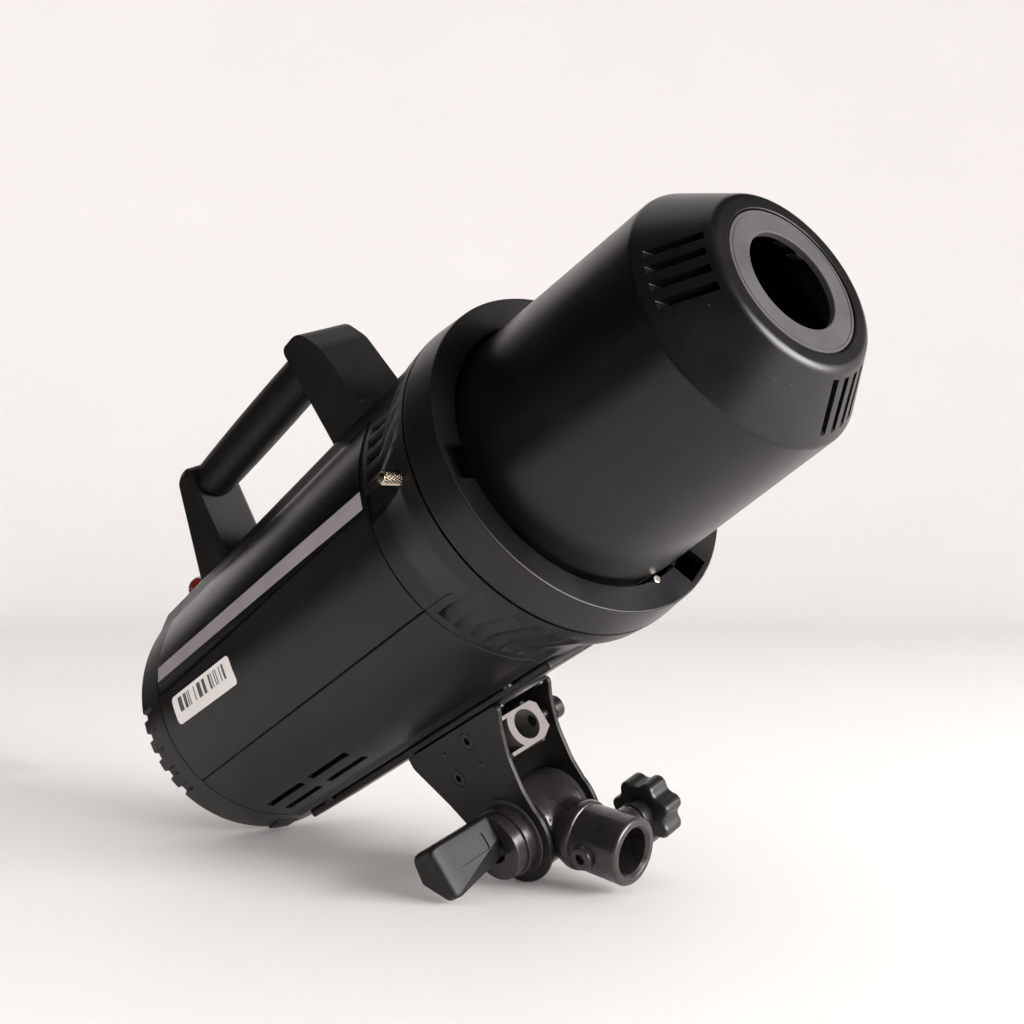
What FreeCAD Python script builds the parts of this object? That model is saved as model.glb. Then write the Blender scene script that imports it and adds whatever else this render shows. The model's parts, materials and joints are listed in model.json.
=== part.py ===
import FreeCAD, Part
import math
import os

# Monolight strobe, resting on a floor the way it is laid down: on the rear rim of its housing,
# the foot of its tilt bracket and the tip of its clamp lever.
#
# Everything is drawn in the lamp's own frame, in millimetres: +X is the beam, +Z is up through
# the carrying handle, -Y is the side with the clamp lever ("near") and the origin is the centre
# of the accessory ring's front plane. The last step pitches and rolls it onto the floor.
#
# An angle "th" round the beam starts at -Y and grows towards +Z.

V = FreeCAD.Vector
BEAM, SIDE, UP = V(1, 0, 0), V(0, 1, 0), V(0, 0, 1)

# ---- driving dimensions, mm and degrees ----
PITCH_DEG, ROLL_DEG = 25.47, 19.28          # how the lamp lies on the floor

BODY_R = 54.0                               # housing radius
WALL = 2.5
PANEL_PROUD = 0.35
SPINE_TOP, SPINE_HALF = 58.0, 15.5          # raised spine under the handle
SHOULDER_Y, SHOULDER_Z = 23.0, 51.8
KEEL_Z, KEEL_HALF = -52.6, 17.5             # flat underside
SPLIT_Z = -19.0                             # the upper and lower shells meet here
REAR_X, BEZEL_X, SHELL_FRONT_X = -254.0, -233.0, -52.0

RING_R, RING_BACK_R, RING_BACK_X = 59.0, 60.8, -14.8
THROAT_R, THROAT_X = 49.2, -1.7             # opening that takes the bayonet
CHANNEL_R, CHANNEL_X = 57.5, -12.8
NOTCH_TH, NOTCH_WIDE, TWIST_DEG = -108.0, 14.0, 20.0
FLARE = [(-15.1, 60.7, 0), (-23, 60.3, 9), (-41, 54.3, 12), (-52, 54.0, 0)]
FLARE_IN = [(-52, 51.3, 0), (-44, 51.3, 6), (-24, 57.6, 8), (-15.1, 58.2, 0)]

CAP_R, CAP_BACK_R, CAP_SHOULDER_X = 43.6, 47.6, 78.4
CAP_NOSE_R, CAP_NOSE_X, CAP_WALL = 29.4, 97.4, 2.4
INSERT_R, NOSE_HOLE_R = 23.8, 16.2
CAP_SLOT_GROUPS = (26.0, -94.0, 146.0)

LOUVRE_STEP, LOUVRE_WIDE, LOUVRE_DEEP = 6.9, 3.4, 1.3
VENT_THS, VENT_RUNS = (-51.5, -60.3), ((-224.0, -193.2), (-186.4, -155.4))
GROOVE_THS, GROOVE_DEEP, GROOVE_HALF_TH = (20.5, 10.75, 1, -8.75, -18.5), 1.9, 1.9
KNOB_TH, KNOB_X, KNOB_R = 18.5, -24.0, 2.2
KNOB_FOOT, KNOB_TOP = 52.8, 65.9            # radii where the release knob begins and ends
PIN_TH, PIN_R, PIN_AT = -88.0, 1.5, 49.4
RELEASE_TRAVEL = 5.0

GRIP_Z, GRIP_R = 92.5, 9.0
POST_HALF = 12.0

PLATE_Y, PLATE_THICK = 15.5, 2.0            # outer face of each bracket plate
PIVOT_X, PIVOT_Z = -115.5, -101.0
PLATE_END_R = 18.5
SOCKET_DROP_DEG, SOCKET_LENGTH = 35.4, 45.0
SOCKET_BORE_R, SOCKET_R, BARREL_R, BARREL_HALF = 8.5, 12.7, 16.6, 11.4
BOLT_R = 4.0
PLATE_SCREWS = ((-110.6, -62.4), (-125.9, -72.8))       # countersunk screws, (x, z) on each plate
PLATE_RIVETS = ((-125.8, -62.8), (-109.8, -72.6))
SADDLE_Z, SADDLE_THICK = -57.6, 1.4
SADDLE_BITE_X, SADDLE_BITE_R = -68.1, 21.6  # concave front edge of the saddle
SADDLE_SCREWS = ((-88.8, 11.4), (-141.5, 9.0))            # (x, y), mirrored on the far side
UMBRELLA_X, UMBRELLA_Z, UMBRELLA_BORE_R = -93.5, -68.2, 5.8
UMBRELLA_LONG, UMBRELLA_BELOW, UMBRELLA_ABOVE = 45.0, 8.9, 8.3
UMBRELLA_SCREW_BACK = 3.6                   # clamp screw behind the holder's face
CHEEK_BACK_NEAR, CHEEK_BACK_FAR = 5.5, 10.5 # how far each cheek stands behind the face
SLEEVE_ROUND_R, WEB, SLEEVE_TOP, SLEEVE_FOOT = 9.0, 1.4, 7.0, -7.7
CHEEK = 1.8
LEVER_TIP_Y, LEVER_FRONT_X, LEVER_BACK_X = -57.2, -108.6, -121.6
HUB_R, HUB_END_R, HUB_STEP_Y, HUB_END_Y = 13.4, 12.4, -21.0, -26.0
KNOB_ALONG = 31.2                           # stand knob's place along the socket
KNOB_Y0, KNOB_Y1, KNOB_LOBES = 23.0, 33.5, 7

PANEL_X, PANEL_THICK, PANEL_R = -251.0, 2.4, 47.4
DIAL_AT, DIAL_R = (20.0, -2.0), 9.0         # places on the panel are (y, z)
BUTTONS = {"menu_button": (-30.0, -1.5), "mode_button": (-16.5, -1.5), "lamp_button": (-3.0, -1.5),
           "test_button": (34.0, 14.0)}
BUTTON_HALF_Y, BUTTON_HALF_Z, BUTTON_PROUD = 4.6, 3.0, 1.3
DISPLAY = (-27.0, 25.0, 10.0, 34.0)         # y0, y1, z0, z1
INLET = (-24.0, 3.0, -36.0, -16.5)
ROCKER = (12.5, 24.5, -36.5, -17.5)
ROCKER_AXIS_X, ROCKER_PIN_R = PANEL_X + 1.5, 1.0
FUSE_AT, FUSE_R = (34.0, -14.0), 5.6
SYNC_AT, SYNC_R = (-36.0, -14.0), 3.6
USB = (-38.5, -30.5, 8.0, 12.0)

RUN = 0.05                                  # running clearance, radial
GAP = 0.3                                   # clearance between pieces that move apart


# ---- drawing helpers ----
def spot(x, r, th):
    """The point at radius r and angle th round the beam."""
    a = math.radians(th)
    return V(x, -r * math.cos(a), r * math.sin(a))


def radial(th):
    """Unit vector away from the beam at angle th."""
    return spot(0, 1, th)


def rounded_wire(points, place):
    """Closed wire through (a, b, corner radius) points; place turns (a, b) into a vector."""
    flat = [FreeCAD.Vector(a, b, 0) for a, b, _ in points]
    edges, ends = [], []
    for i, (_, _, r) in enumerate(points):
        here, before, after = flat[i], flat[i - 1], flat[(i + 1) % len(flat)]
        u, w = (before - here).normalize(), (after - here).normalize()
        if r <= 0:
            ends.append((here, here, here))
            continue
        half = u.getAngle(w) / 2
        cut = r / math.tan(half)
        centre = here + (u + w).normalize() * (r / math.sin(half))
        middle = centre + (here - centre).normalize() * r
        ends.append((here + u * cut, middle, here + w * cut))
    for i, (start, middle, end) in enumerate(ends):
        if start.distanceToPoint(end) > 1e-6:
            edges.append(Part.Arc(*[place(p.x, p.y) for p in (start, middle, end)]).toShape())
        following = ends[(i + 1) % len(ends)][0]
        if end.distanceToPoint(following) > 1e-6:
            edges.append(Part.LineSegment(place(end.x, end.y), place(following.x, following.y)).toShape())
    return Part.Wire(edges)


def lathe(points, origin=V(0, 0, 0), axis=BEAM, sweep=360.0):
    """Solid turned round an axis; points are (distance along, radius, corner radius)."""
    out = UP if abs(axis.dot(UP)) < 0.9 else SIDE
    out = (out - axis * out.dot(axis)).normalize()
    face = Part.Face(rounded_wire(points, lambda a, b: origin + axis * a + out * b))
    return face.revolve(origin, axis, sweep)


def tube(origin, axis, start, end, r_out, r_in=0.0, corner=0.0):
    """Straight tube or rod between two distances along an axis."""
    return lathe([(start, r_in, 0), (start, r_out, corner), (end, r_out, corner), (end, r_in, 0)], origin, axis)


def slab(x0, x1, y0, y1, z0, z1):
    """Box between two values on each axis."""
    return Part.makeBox(x1 - x0, y1 - y0, z1 - z0, V(x0, y0, z0))


def side_plate(points, y0, y1):
    """Outline in the X-Z plane, pushed from y0 to y1."""
    face = Part.Face(rounded_wire(points, lambda a, b: V(a, y0, b)))
    return face.extrude(V(0, y1 - y0, 0))


def sector(points, th0, th1):
    """Profile of (x, radius, corner) swept round the beam from th0 to th1."""
    a = math.radians(th0)
    face = Part.Face(rounded_wire(points, lambda x, r: V(x, -r * math.cos(a), r * math.sin(a))))
    return face.revolve(V(0, 0, 0), V(-1, 0, 0), th1 - th0)


def block_sector(x0, x1, r0, r1, th0, th1):
    """Piece of a ring between two radii and two angles."""
    return sector([(x0, r0, 0), (x0, r1, 0), (x1, r1, 0), (x1, r0, 0)], th0, th1)


def mirrored(shape):
    """The same shape on the other side of the lamp."""
    return shape.mirror(V(0, 0, 0), SIDE)


def both_sides(shape):
    """The shape and its mirror image."""
    return Part.makeCompound([shape, mirrored(shape)])


def soften(shape, radius, wanted):
    """Rounds the edges that wanted(edge) picks."""
    return shape.makeFillet(radius, [e for e in shape.Edges if wanted(e)])


def bevel(shape, size, wanted):
    """Chamfers the edges that wanted(edge) picks."""
    return shape.makeChamfer(size, [e for e in shape.Edges if wanted(e)])


def lies_at(axis_name, *values):
    """Test for edges that lie wholly in one of the planes axis_name = value."""
    def test(edge):
        low, high = getattr(edge.BoundBox, axis_name + "Min"), getattr(edge.BoundBox, axis_name + "Max")
        return any(abs(low - v) < 1e-3 and abs(high - v) < 1e-3 for v in values)
    return test


def screw_head(at, outward, r, high, socket_r):
    """Low round head with a hexagonal socket, its top at `high` above `at`."""
    head = tube(at, outward, 0, high, r, corner=min(0.6, high * 0.4))
    return head.cut(hexagon(at + outward * (high - 1.3), outward, socket_r, 2.0))


def hexagon(at, axis, r, length):
    """Six-sided bar of corner radius r along an axis."""
    side = SIDE if abs(axis.dot(SIDE)) < 0.9 else BEAM
    u = axis.cross(side).normalize()
    w = axis.cross(u).normalize()
    corners = [at + u * (r * math.cos(math.radians(60 * i))) + w * (r * math.sin(math.radians(60 * i)))
               for i in range(6)]
    return Part.Face(Part.makePolygon(corners + corners[:1])).extrude(axis * length)


# ---- housing ----
def body_outline(x):
    """Cross-section of the housing: round sides, a raised spine on top and a flat keel below."""
    def arc(th0, r0, thm, rm, th1, r1, flip):
        ends = [spot(x, r0, th0), spot(x, rm, thm), spot(x, r1, th1)]
        if flip:
            ends = [V(p.x, -p.y, p.z) for p in ends]
        return Part.Arc(*ends).toShape()

    shoulder_r, shoulder_th = math.hypot(SHOULDER_Y, SHOULDER_Z), math.degrees(math.atan2(SHOULDER_Z, SHOULDER_Y))
    keel_th = -68.0
    keel_side = spot(x, BODY_R, keel_th)
    near = [V(x, -SPINE_HALF, SPINE_TOP), V(x, -SHOULDER_Y, SHOULDER_Z)]
    edges = [Part.LineSegment(V(x, SPINE_HALF, SPINE_TOP), near[0]).toShape(),
             Part.LineSegment(*near).toShape(),
             arc(shoulder_th, shoulder_r, 42.0, 54.9, 20.0, BODY_R, False),
             arc(20.0, BODY_R, -24.0, BODY_R, keel_th, BODY_R, False),
             Part.LineSegment(keel_side, V(x, -KEEL_HALF, KEEL_Z)).toShape(),
             Part.LineSegment(V(x, -KEEL_HALF, KEEL_Z), V(x, KEEL_HALF, KEEL_Z)).toShape(),
             Part.LineSegment(V(x, KEEL_HALF, KEEL_Z), V(x, -keel_side.y, keel_side.z)).toShape(),
             arc(20.0, BODY_R, -24.0, BODY_R, keel_th, BODY_R, True),
             arc(shoulder_th, shoulder_r, 42.0, 54.9, 20.0, BODY_R, True),
             Part.LineSegment(V(x, SHOULDER_Y, SHOULDER_Z), V(x, SPINE_HALF, SPINE_TOP)).toShape()]
    return Part.Wire(Part.__sortEdges__(edges))


def body_bar(x0, x1):
    """Solid bar of the housing's section."""
    return Part.Face(body_outline(x0)).extrude(V(x1 - x0, 0, 0))


def hollow_body(x0, x1):
    """Housing wall between two places along the beam."""
    cavity = tube(V(0, 0, 0), BEAM, x0 - 1, x1 + 1, BODY_R - WALL)
    keel_room = slab(x0 - 1, x1 + 1, -KEEL_HALF + WALL, KEEL_HALF - WALL, KEEL_Z + WALL, 0)
    return body_bar(x0, x1).cut(cavity.fuse(keel_room.common(tube(V(0, 0, 0), BEAM, x0 - 1, x1 + 1, BODY_R - 1.6))))


def shell_vents():
    """Two rows of two slots through each side of the lower shell."""
    cuts = []
    for th in VENT_THS:
        for x0, x1 in VENT_RUNS:
            cuts.append(block_sector(x0, x1, BODY_R - 5, BODY_R + 2, th - 1.5, th + 1.5))
    return cuts + [mirrored(c) for c in cuts]


def make_shells():
    """Upper and lower shells, which meet at the split line."""
    whole = hollow_body(BEZEL_X + 0.15, SHELL_FRONT_X - 0.15)
    above = slab(-300, 50, -90, 90, SPLIT_Z + 0.12, 120)
    below = slab(-300, 50, -90, 90, -120, SPLIT_Z - 0.12)
    upper = whole.common(above)
    post_screws = [tube(V(x, y, 0), UP, 40, 57, 1.7) for x in (-88, -80, -212, -203) for y in (-6, 6)]
    lower = whole.common(below).cut(Part.makeCompound(shell_vents()))
    return {"upper_shell": upper.cut(Part.makeCompound(post_screws)), "lower_shell": lower}


def louvre(th):
    """Cutter for one air intake that dives under the flare, ramped from its upper edge."""
    floor = [(-48.5, 54.1 - LOUVRE_DEEP, 0), (-41, 54.4 - LOUVRE_DEEP, 8), (-27, 59.2 - LOUVRE_DEEP, 0),
             (-27, 64, 0), (-48.5, 64, 0)]
    return sector(floor, th - LOUVRE_WIDE, th)


def make_front_shroud():
    """Flared shroud with its louvres, the release knob's pocket and slot, and the spring's post."""
    flare = lathe([(-52, 20, 0), (-15.1, 20, 0)] + FLARE)
    body = flare.fuse(body_bar(SHELL_FRONT_X, -24))
    pad = block_sector(-51.9, -20.5, 50.0, 56.0, 12.5, 30.0)
    spring_post = block_sector(-36.0, -33.6, 50.4, 55.0, -44.5, -35.5)
    body = body.cut(lathe([(-53, 0, 0), (-53, 51.3, 0)] + FLARE_IN + [(-14, 58.2, 0), (-14, 0, 0)]))
    body = body.fuse(pad).fuse(spring_post)
    pocket = sector([(-51.0, 52.6, 0), (-51.0, 66, 0), (-20.8, 66, 0), (-20.8, 52.6, 0)], 15.5, 27.0)
    slot_x = KNOB_X - RELEASE_TRAVEL / 2
    slot = Part.makeBox(RELEASE_TRAVEL + 4.4, 3.8, 8, V(-(RELEASE_TRAVEL + 4.4) / 2, -1.9, 0))
    slot.rotate(V(0, 0, 0), BEAM, 90 - KNOB_TH)
    slot.translate(spot(slot_x, 48.5, KNOB_TH))
    lower_set = [louvre(-24.2 - LOUVRE_STEP * i) for i in range(6)]
    upper_set = [louvre(34.5 + LOUVRE_STEP * i) for i in range(4)]
    cuts = [pocket, slot] + lower_set + upper_set + [mirrored(c) for c in lower_set + upper_set]
    seam = slab(-60, -33, -90, -40, SPLIT_Z - 0.15, SPLIT_Z + 0.15).cut(tube(V(0, 0, 0), BEAM, -70, 0, BODY_R - 0.7))
    return body.cut(Part.makeCompound(cuts)).cut(seam)


def make_mount_ring():
    """Accessory ring: textured front lip, bayonet channel behind it and three entry notches."""
    ring = lathe([(RING_BACK_X, 51.5, 0), (RING_BACK_X, RING_BACK_R, 1.2), (0, RING_R, 0.7),
                  (THROAT_X, THROAT_R, 0.3), (THROAT_X - 2.0, THROAT_R, 0), (THROAT_X - 2.0, CHANNEL_R, 0),
                  (CHANNEL_X, CHANNEL_R, 0), (CHANNEL_X, 51.5, 0)])
    half = NOTCH_WIDE / 2
    for i in range(3):
        th = NOTCH_TH + 120 * i
        ring = ring.cut(block_sector(THROAT_X - 3, 1, THROAT_R - 2, 57.0, th - half, th + half))
    return ring.cut(tube(spot(0, PIN_AT, PIN_TH), BEAM, -8, 1, PIN_R + GAP))


def make_rear_bezel():
    """Rear rim with a rounded edge, grip grooves on both sides and a seat for the control panel."""
    round_half = tube(V(0, 0, 0), BEAM, REAR_X, BEZEL_X - 0.15, BODY_R)
    outer = body_bar(REAR_X, BEZEL_X - 0.15)
    outer = outer.common(round_half.fuse(slab(REAR_X - 1, BEZEL_X, -90, 90, 0, 90))).removeSplitter()
    outer = outer.makeFillet(3.2, [e for e in outer.Edges if lies_at("X", REAR_X)(e)])
    outer = outer.cut(tube(V(0, 0, 0), BEAM, -247.5, BEZEL_X + 1, BODY_R - WALL))
    outer = outer.cut(tube(V(0, 0, 0), BEAM, REAR_X - 1, -247, 47.5))
    grooves = [block_sector(REAR_X - 1, -242.5, BODY_R - GROOVE_DEEP, BODY_R + 3,
                            th - GROOVE_HALF_TH, th + GROOVE_HALF_TH) for th in GROOVE_THS]
    grooves += [mirrored(g) for g in grooves]
    feet_room = both_sides(foot_pad(0.0))
    return outer.cut(Part.makeCompound(grooves)).cut(feet_room)


def foot_pad(proud):
    """Rubber pad let into the rear rim."""
    return block_sector(-252.4, -243.5, BODY_R - 1.4, BODY_R + proud, -76.0, -65.5)


def make_bottom_rail():
    """Flat rail under the keel that carries the bracket."""
    rail = slab(-232, -54, -13, 13, -56.2, KEEL_Z)
    return bevel(rail, 1.2, lies_at("Z", -56.2))


def make_screws():
    """Visible fixings of the handle and the shells."""
    screws = [screw_head(V(-62.5, 0, SPINE_TOP), UP, 3.2, 1.8, 1.5),
              screw_head(V(-229.0, 0, SPINE_TOP), UP, 3.0, 1.6, 1.4)]
    for x in (-210.0, -75.0):
        for side in (-1, 1):
            screws.append(screw_head(V(x, side * 15.3, KEEL_Z), V(0, 0, -1), 2.0, 1.4, 1.1))
    return Part.makeCompound(screws)


# ---- handle ----
def make_handle():
    """Two legs on the spine and the rubber sleeve between them."""
    front = side_plate([(-94.2, SPINE_TOP, 0), (-92.6, 101.3, 3), (-79.5, 101.3, 8), (-73.2, 90, 14),
                        (-69.6, 63.0, 0), (-56.0, 60.4, 0), (-55.5, SPINE_TOP, 0)], -POST_HALF, POST_HALF)
    front = bevel(front, 2.2, lambda e: lies_at("Y", -POST_HALF, POST_HALF)(e) and e.BoundBox.ZMax > 66)
    recess = tube(V(-62.5, 0, 0), UP, SPINE_TOP - 1, 75, 5.0)
    rear = side_plate([(-194.5, SPINE_TOP, 0), (-187.0, 101.3, 3), (-198.0, 101.3, 7), (-222.0, SPINE_TOP, 0)],
                      -POST_HALF, POST_HALF)
    rear = bevel(rear, 2.2, lambda e: lies_at("Y", -POST_HALF, POST_HALF)(e) and e.BoundBox.ZMax > 66)
    grip = lathe([(-188.2, 0, 0), (-188.2, GRIP_R - 0.4, 0), (-170, GRIP_R + 0.2, 60), (-110, GRIP_R + 0.2, 60),
                  (-93.2, GRIP_R - 0.4, 0), (-93.2, 0, 0)], V(0, 0, GRIP_Z), BEAM)
    front = front.cut(recess).cut(grip)
    return {"handle_front_post": front, "handle_rear_post": rear.cut(grip), "handle_grip": grip}


# ---- labels ----
def skin(x0, x1, low, high):
    """Thin layer that follows the housing, from `low` to `high` above its surface."""
    def grown(offset):
        face = Part.Face(body_outline(x0))
        return (face.makeOffset2D(offset) if offset else face).extrude(V(x1 - x0, 0, 0))
    return grown(high).cut(grown(low))


def patch(rear, front, wide_deg):
    """Wedge between x of `rear` and `front`; its middle line drifts from one angle to the other."""
    ends = []
    for x, th in (rear, front):
        low, high = th - wide_deg / 2, th + wide_deg / 2
        ends.append(Part.makePolygon([spot(x, 45, low), spot(x, 70, low), spot(x, 70, high),
                                      spot(x, 45, high), spot(x, 45, low)]))
    return Part.makeLoft(ends, True, True)


def make_labels():
    """Gloss panel and pale stripe on each side, and a paper sticker on the near one."""
    rear_x, front_x = BEZEL_X + 1.2, SHELL_FRONT_X - 1.2
    panel = skin(rear_x, front_x, 0, PANEL_PROUD).common(patch((rear_x, 42.5), (front_x, 42.5), 41.0))
    stripe = skin(rear_x, front_x, PANEL_PROUD, PANEL_PROUD + 0.15)
    stripe = stripe.common(patch((rear_x, 33.4), (front_x, 26.2), 6.9))
    paper = skin(-221, -166, 0, 0.2).common(patch((-221, 11.6), (-166, 9.2), 13.0))
    return {"label_panels": both_sides(panel), "label_stripes": both_sides(stripe), "paper_sticker": paper}


# ---- inside ----
def make_lamp():
    """Flash tube, modelling lamp, their socket and the reflector pan behind the ring."""
    pan = lathe([(-40, 22.0, 0), (-40, 34.0, 0), (-17, 46.0, 0), (-15.8, 46.0, 0), (-15.8, 44.9, 0),
                 (-38.8, 32.9, 0), (-38.8, 22.0, 0)])
    socket = tube(V(0, 0, 0), BEAM, -53.8, -36, 15.0, 8.6, 1.0)
    bulb = lathe([(-50, 0, 0), (-50, 6.5, 0), (-33, 6.5, 3), (-28, 11.5, 6), (8, 11.5, 10.8), (8, 0, 0)])
    base = tube(V(0, 0, 0), BEAM, -53.8, -40.2, 36.0, 15.2, 1.0)
    arc_r, glass_r = 26.0, 4.2
    ring_tube = Part.makeTorus(arc_r, glass_r, V(-22, 0, 0), BEAM)
    legs = [tube(V(0, 0, s * arc_r), BEAM, -40.2, -22, 3.2) for s in (-1, 1)]
    flash = ring_tube.fuse(legs)
    openings = [tube(V(0, 0, s * arc_r), BEAM, -41, -38, 3.6) for s in (-1, 1)]
    return {"reflector_pan": pan.cut(Part.makeCompound(openings)), "lamp_socket": socket,
            "modelling_lamp": bulb, "flash_tube_base": base, "flash_tube": flash}


def make_inside():
    """Bulkhead, fan, capacitors, power board and control board."""
    bulkhead = tube(V(0, 0, 0), BEAM, -56.4, -54.0, 51.0)
    for i in range(8):
        bulkhead = bulkhead.cut(tube(spot(0, 40, 45 * i), BEAM, -57, -53, 6.0))
    frame = tube(V(0, 0, 0), BEAM, -74, -58, 43.0, 39.5)
    spokes = [slab(-74, -72.6, -39.8, 39.8, -1.5, 1.5), slab(-74, -72.6, -1.5, 1.5, -39.8, 39.8)]
    frame = frame.fuse(spokes).fuse(tube(V(0, 0, 0), BEAM, -74, -70, 11.0))
    frame = frame.fuse([tube(spot(0, 46.0, 45 + 90 * i), BEAM, -74, -56.4, 4.2) for i in range(4)])
    hub = tube(V(0, 0, 0), BEAM, -69.6, -58.4, 14.0, corner=1.0)
    blades = []
    for i in range(7):
        blade = slab(-68, -60, -0.8, 0.8, 13, 38.6)
        blade.rotate(V(-64, 0, 25), UP, 32)
        blade.rotate(V(0, 0, 0), BEAM, 360 / 7 * i)
        blades.append(blade)
    rotor = hub.fuse(blades)
    cans, holes = [], []
    for sy in (-1, 1):
        for sz in (-1, 1):
            at = V(0, 18.5 * sy, 18.5 * sz)
            cans.append(tube(at, BEAM, -160, -78, 17.0, corner=1.2))
            holes.append(tube(at, BEAM, -130, -100, 17.0))
    clamp = tube(V(0, 0, 0), BEAM, -121, -115, 51.2).cut(Part.makeCompound(holes))
    board = slab(-228, -166, -40, 40, -24, -22.2)
    coil = slab(-222, -192, -20, 14, -22.2, 8)
    coil = coil.fuse(slab(-188, -172, -34, 34, -22.2, -6))
    return {"bulkhead": bulkhead, "fan_frame": frame, "fan_rotor": rotor,
            "capacitors": Part.makeCompound(cans), "capacitor_clamp": clamp,
            "power_board": board, "transformer": coil}


# ---- rear panel ----
def panel_tube(at, x0, x1, r, r_in=0.0, corner=0.0):
    """Tube along the beam at a place on the control panel."""
    return tube(V(0, at[0], at[1]), BEAM, x0, x1, r, r_in, corner)


def button_shape(at, grow, x0, x1):
    """Key with rounded corners, or its hole when grown."""
    y, z = at
    block = slab(x0, x1, y - BUTTON_HALF_Y - grow, y + BUTTON_HALF_Y + grow,
                 z - BUTTON_HALF_Z - grow, z + BUTTON_HALF_Z + grow)
    along_x = [e for e in block.Edges if abs(e.BoundBox.XLength) > 1 and e.BoundBox.YLength < 1e-4]
    return block.makeFillet(2.0 + grow, along_x)


def make_rear():
    """Control panel with its display, dial, buttons, sockets and switches."""
    front, back = PANEL_X + PANEL_THICK, PANEL_X
    panel = tube(V(0, 0, 0), BEAM, back, front, PANEL_R, corner=0.5)
    y0, y1, z0, z1 = DISPLAY
    window = slab(back - 0.6, front - 0.6, y0, y1, z0, z1)
    window = soften(window, 2.0, lambda e: e.BoundBox.XLength > 1 and e.BoundBox.YLength < 1e-4)
    y0, y1, z0, z1 = INLET
    socket = slab(back - 1.0, -230.5, y0, y1, z0, z1)
    socket = bevel(socket, 3.0, lambda e: e.BoundBox.XLength > 5 and e.BoundBox.ZMin > z1 - 0.1)
    cavity = slab(back - 2.0, -233.5, y0 + 2.4, y1 - 2.4, z0 + 2.4, z1 - 2.4)
    pins = [slab(-247.0, -231.5, y - 0.8, y + 0.8, z - 2.0, z + 2.0)
            for y, z in ((-17.5, -27.4), (-10.5, -24.6), (-3.5, -27.4))]
    inlet = socket.cut(cavity).cut(Part.makeCompound(pins))
    y0r, y1r, z0r, z1r = ROCKER
    rocker_room = slab(back - 1, front + 1, y0r, y1r, z0r, z1r)
    rocker = rocker_shape()
    dial = panel_tube(DIAL_AT, back - 7.0, back - 0.4, DIAL_R, corner=1.0)
    for i in range(24):
        a = math.radians(15 * i)
        at = (DIAL_AT[0] + (DIAL_R + 0.25) * math.cos(a), DIAL_AT[1] + (DIAL_R + 0.25) * math.sin(a))
        dial = dial.cut(panel_tube(at, back - 8.0, back - 0.4, 0.6))
    dial = dial.fuse(panel_tube(DIAL_AT, back - 0.5, front + 4, 3.0 - RUN))
    fuse = panel_tube(FUSE_AT, back - 3.4, back, FUSE_R, corner=0.8).fuse(panel_tube(FUSE_AT, back, -234, 4.6))
    fuse = fuse.cut(slab(back - 4, back - 2.2, FUSE_AT[0] - 4, FUSE_AT[0] + 4, FUSE_AT[1] - 0.6, FUSE_AT[1] + 0.6))
    sync = panel_tube(SYNC_AT, back - 1.6, back, SYNC_R + 1.4, 1.9, 0.4)
    sync = sync.fuse(panel_tube(SYNC_AT, back, -238, SYNC_R, 1.9)).fuse(panel_tube(SYNC_AT, -238, -237, SYNC_R))
    y0, y1, z0, z1 = USB
    usb = slab(back - 0.5, -240, y0, y1, z0, z1)
    usb = usb.cut(slab(back - 2, -243, y0 + 0.7, y1 - 0.7, z0 + 0.7, z1 - 0.7))
    holes = [window, socket, rocker_room, panel_tube(DIAL_AT, back - 1, front + 1, 3.0), usb,
             panel_tube(FUSE_AT, back - 0.01, front + 1, 4.6), panel_tube(SYNC_AT, back - 0.01, front + 1, SYNC_R),
             slab(back - 1, front + 1, y0, y1, z0, z1)]
    holes += [button_shape(at, 0.25, back - 1, front + 1) for at in BUTTONS.values()]
    made = {"rear_panel": panel.cut(Part.makeCompound(holes)), "display_window": window, "power_inlet": inlet,
            "inlet_pins": Part.makeCompound(pins), "power_rocker": rocker, "dial": dial,
            "fuse_holder": fuse, "signal_sockets": Part.makeCompound([sync, usb])}
    for name, at in BUTTONS.items():
        made[name] = button_shape(at, 0.0, back - BUTTON_PROUD, front + 1.0)
    return made


def rocker_shape():
    """Power switch paddle, a shallow V that tips about two pins at its middle."""
    y0, y1, z0, z1 = ROCKER
    mid = (z0 + z1) / 2
    outline = [(PANEL_X - 0.6, z0 + 0.9, 0.5), (PANEL_X - 0.2, mid, 0), (PANEL_X - 2.6, z1 - 0.9, 0.5),
               (PANEL_X + 2.0, z1 - 0.9, 0), (PANEL_X + 5.0, mid + 2.5, 0), (PANEL_X + 5.0, mid - 2.5, 0),
               (PANEL_X + 2.6, z0 + 0.9, 0)]
    pins = tube(V(ROCKER_AXIS_X, 0, mid), SIDE, y0 + RUN, y1 - RUN, ROCKER_PIN_R)
    return side_plate(outline, y0 + 0.35, y1 - 0.35).fuse(pins).removeSplitter()


def make_slave_sensor():
    """Red dome over the slave sensor, on the spine behind the handle."""
    return lathe([(0, 0, 0), (0, 6.0, 0), (4.0, 6.0, 0), (9.0, 6.0, 5.9), (9.0, 0, 0)], V(-240.5, 0, SPINE_TOP), UP)


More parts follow.
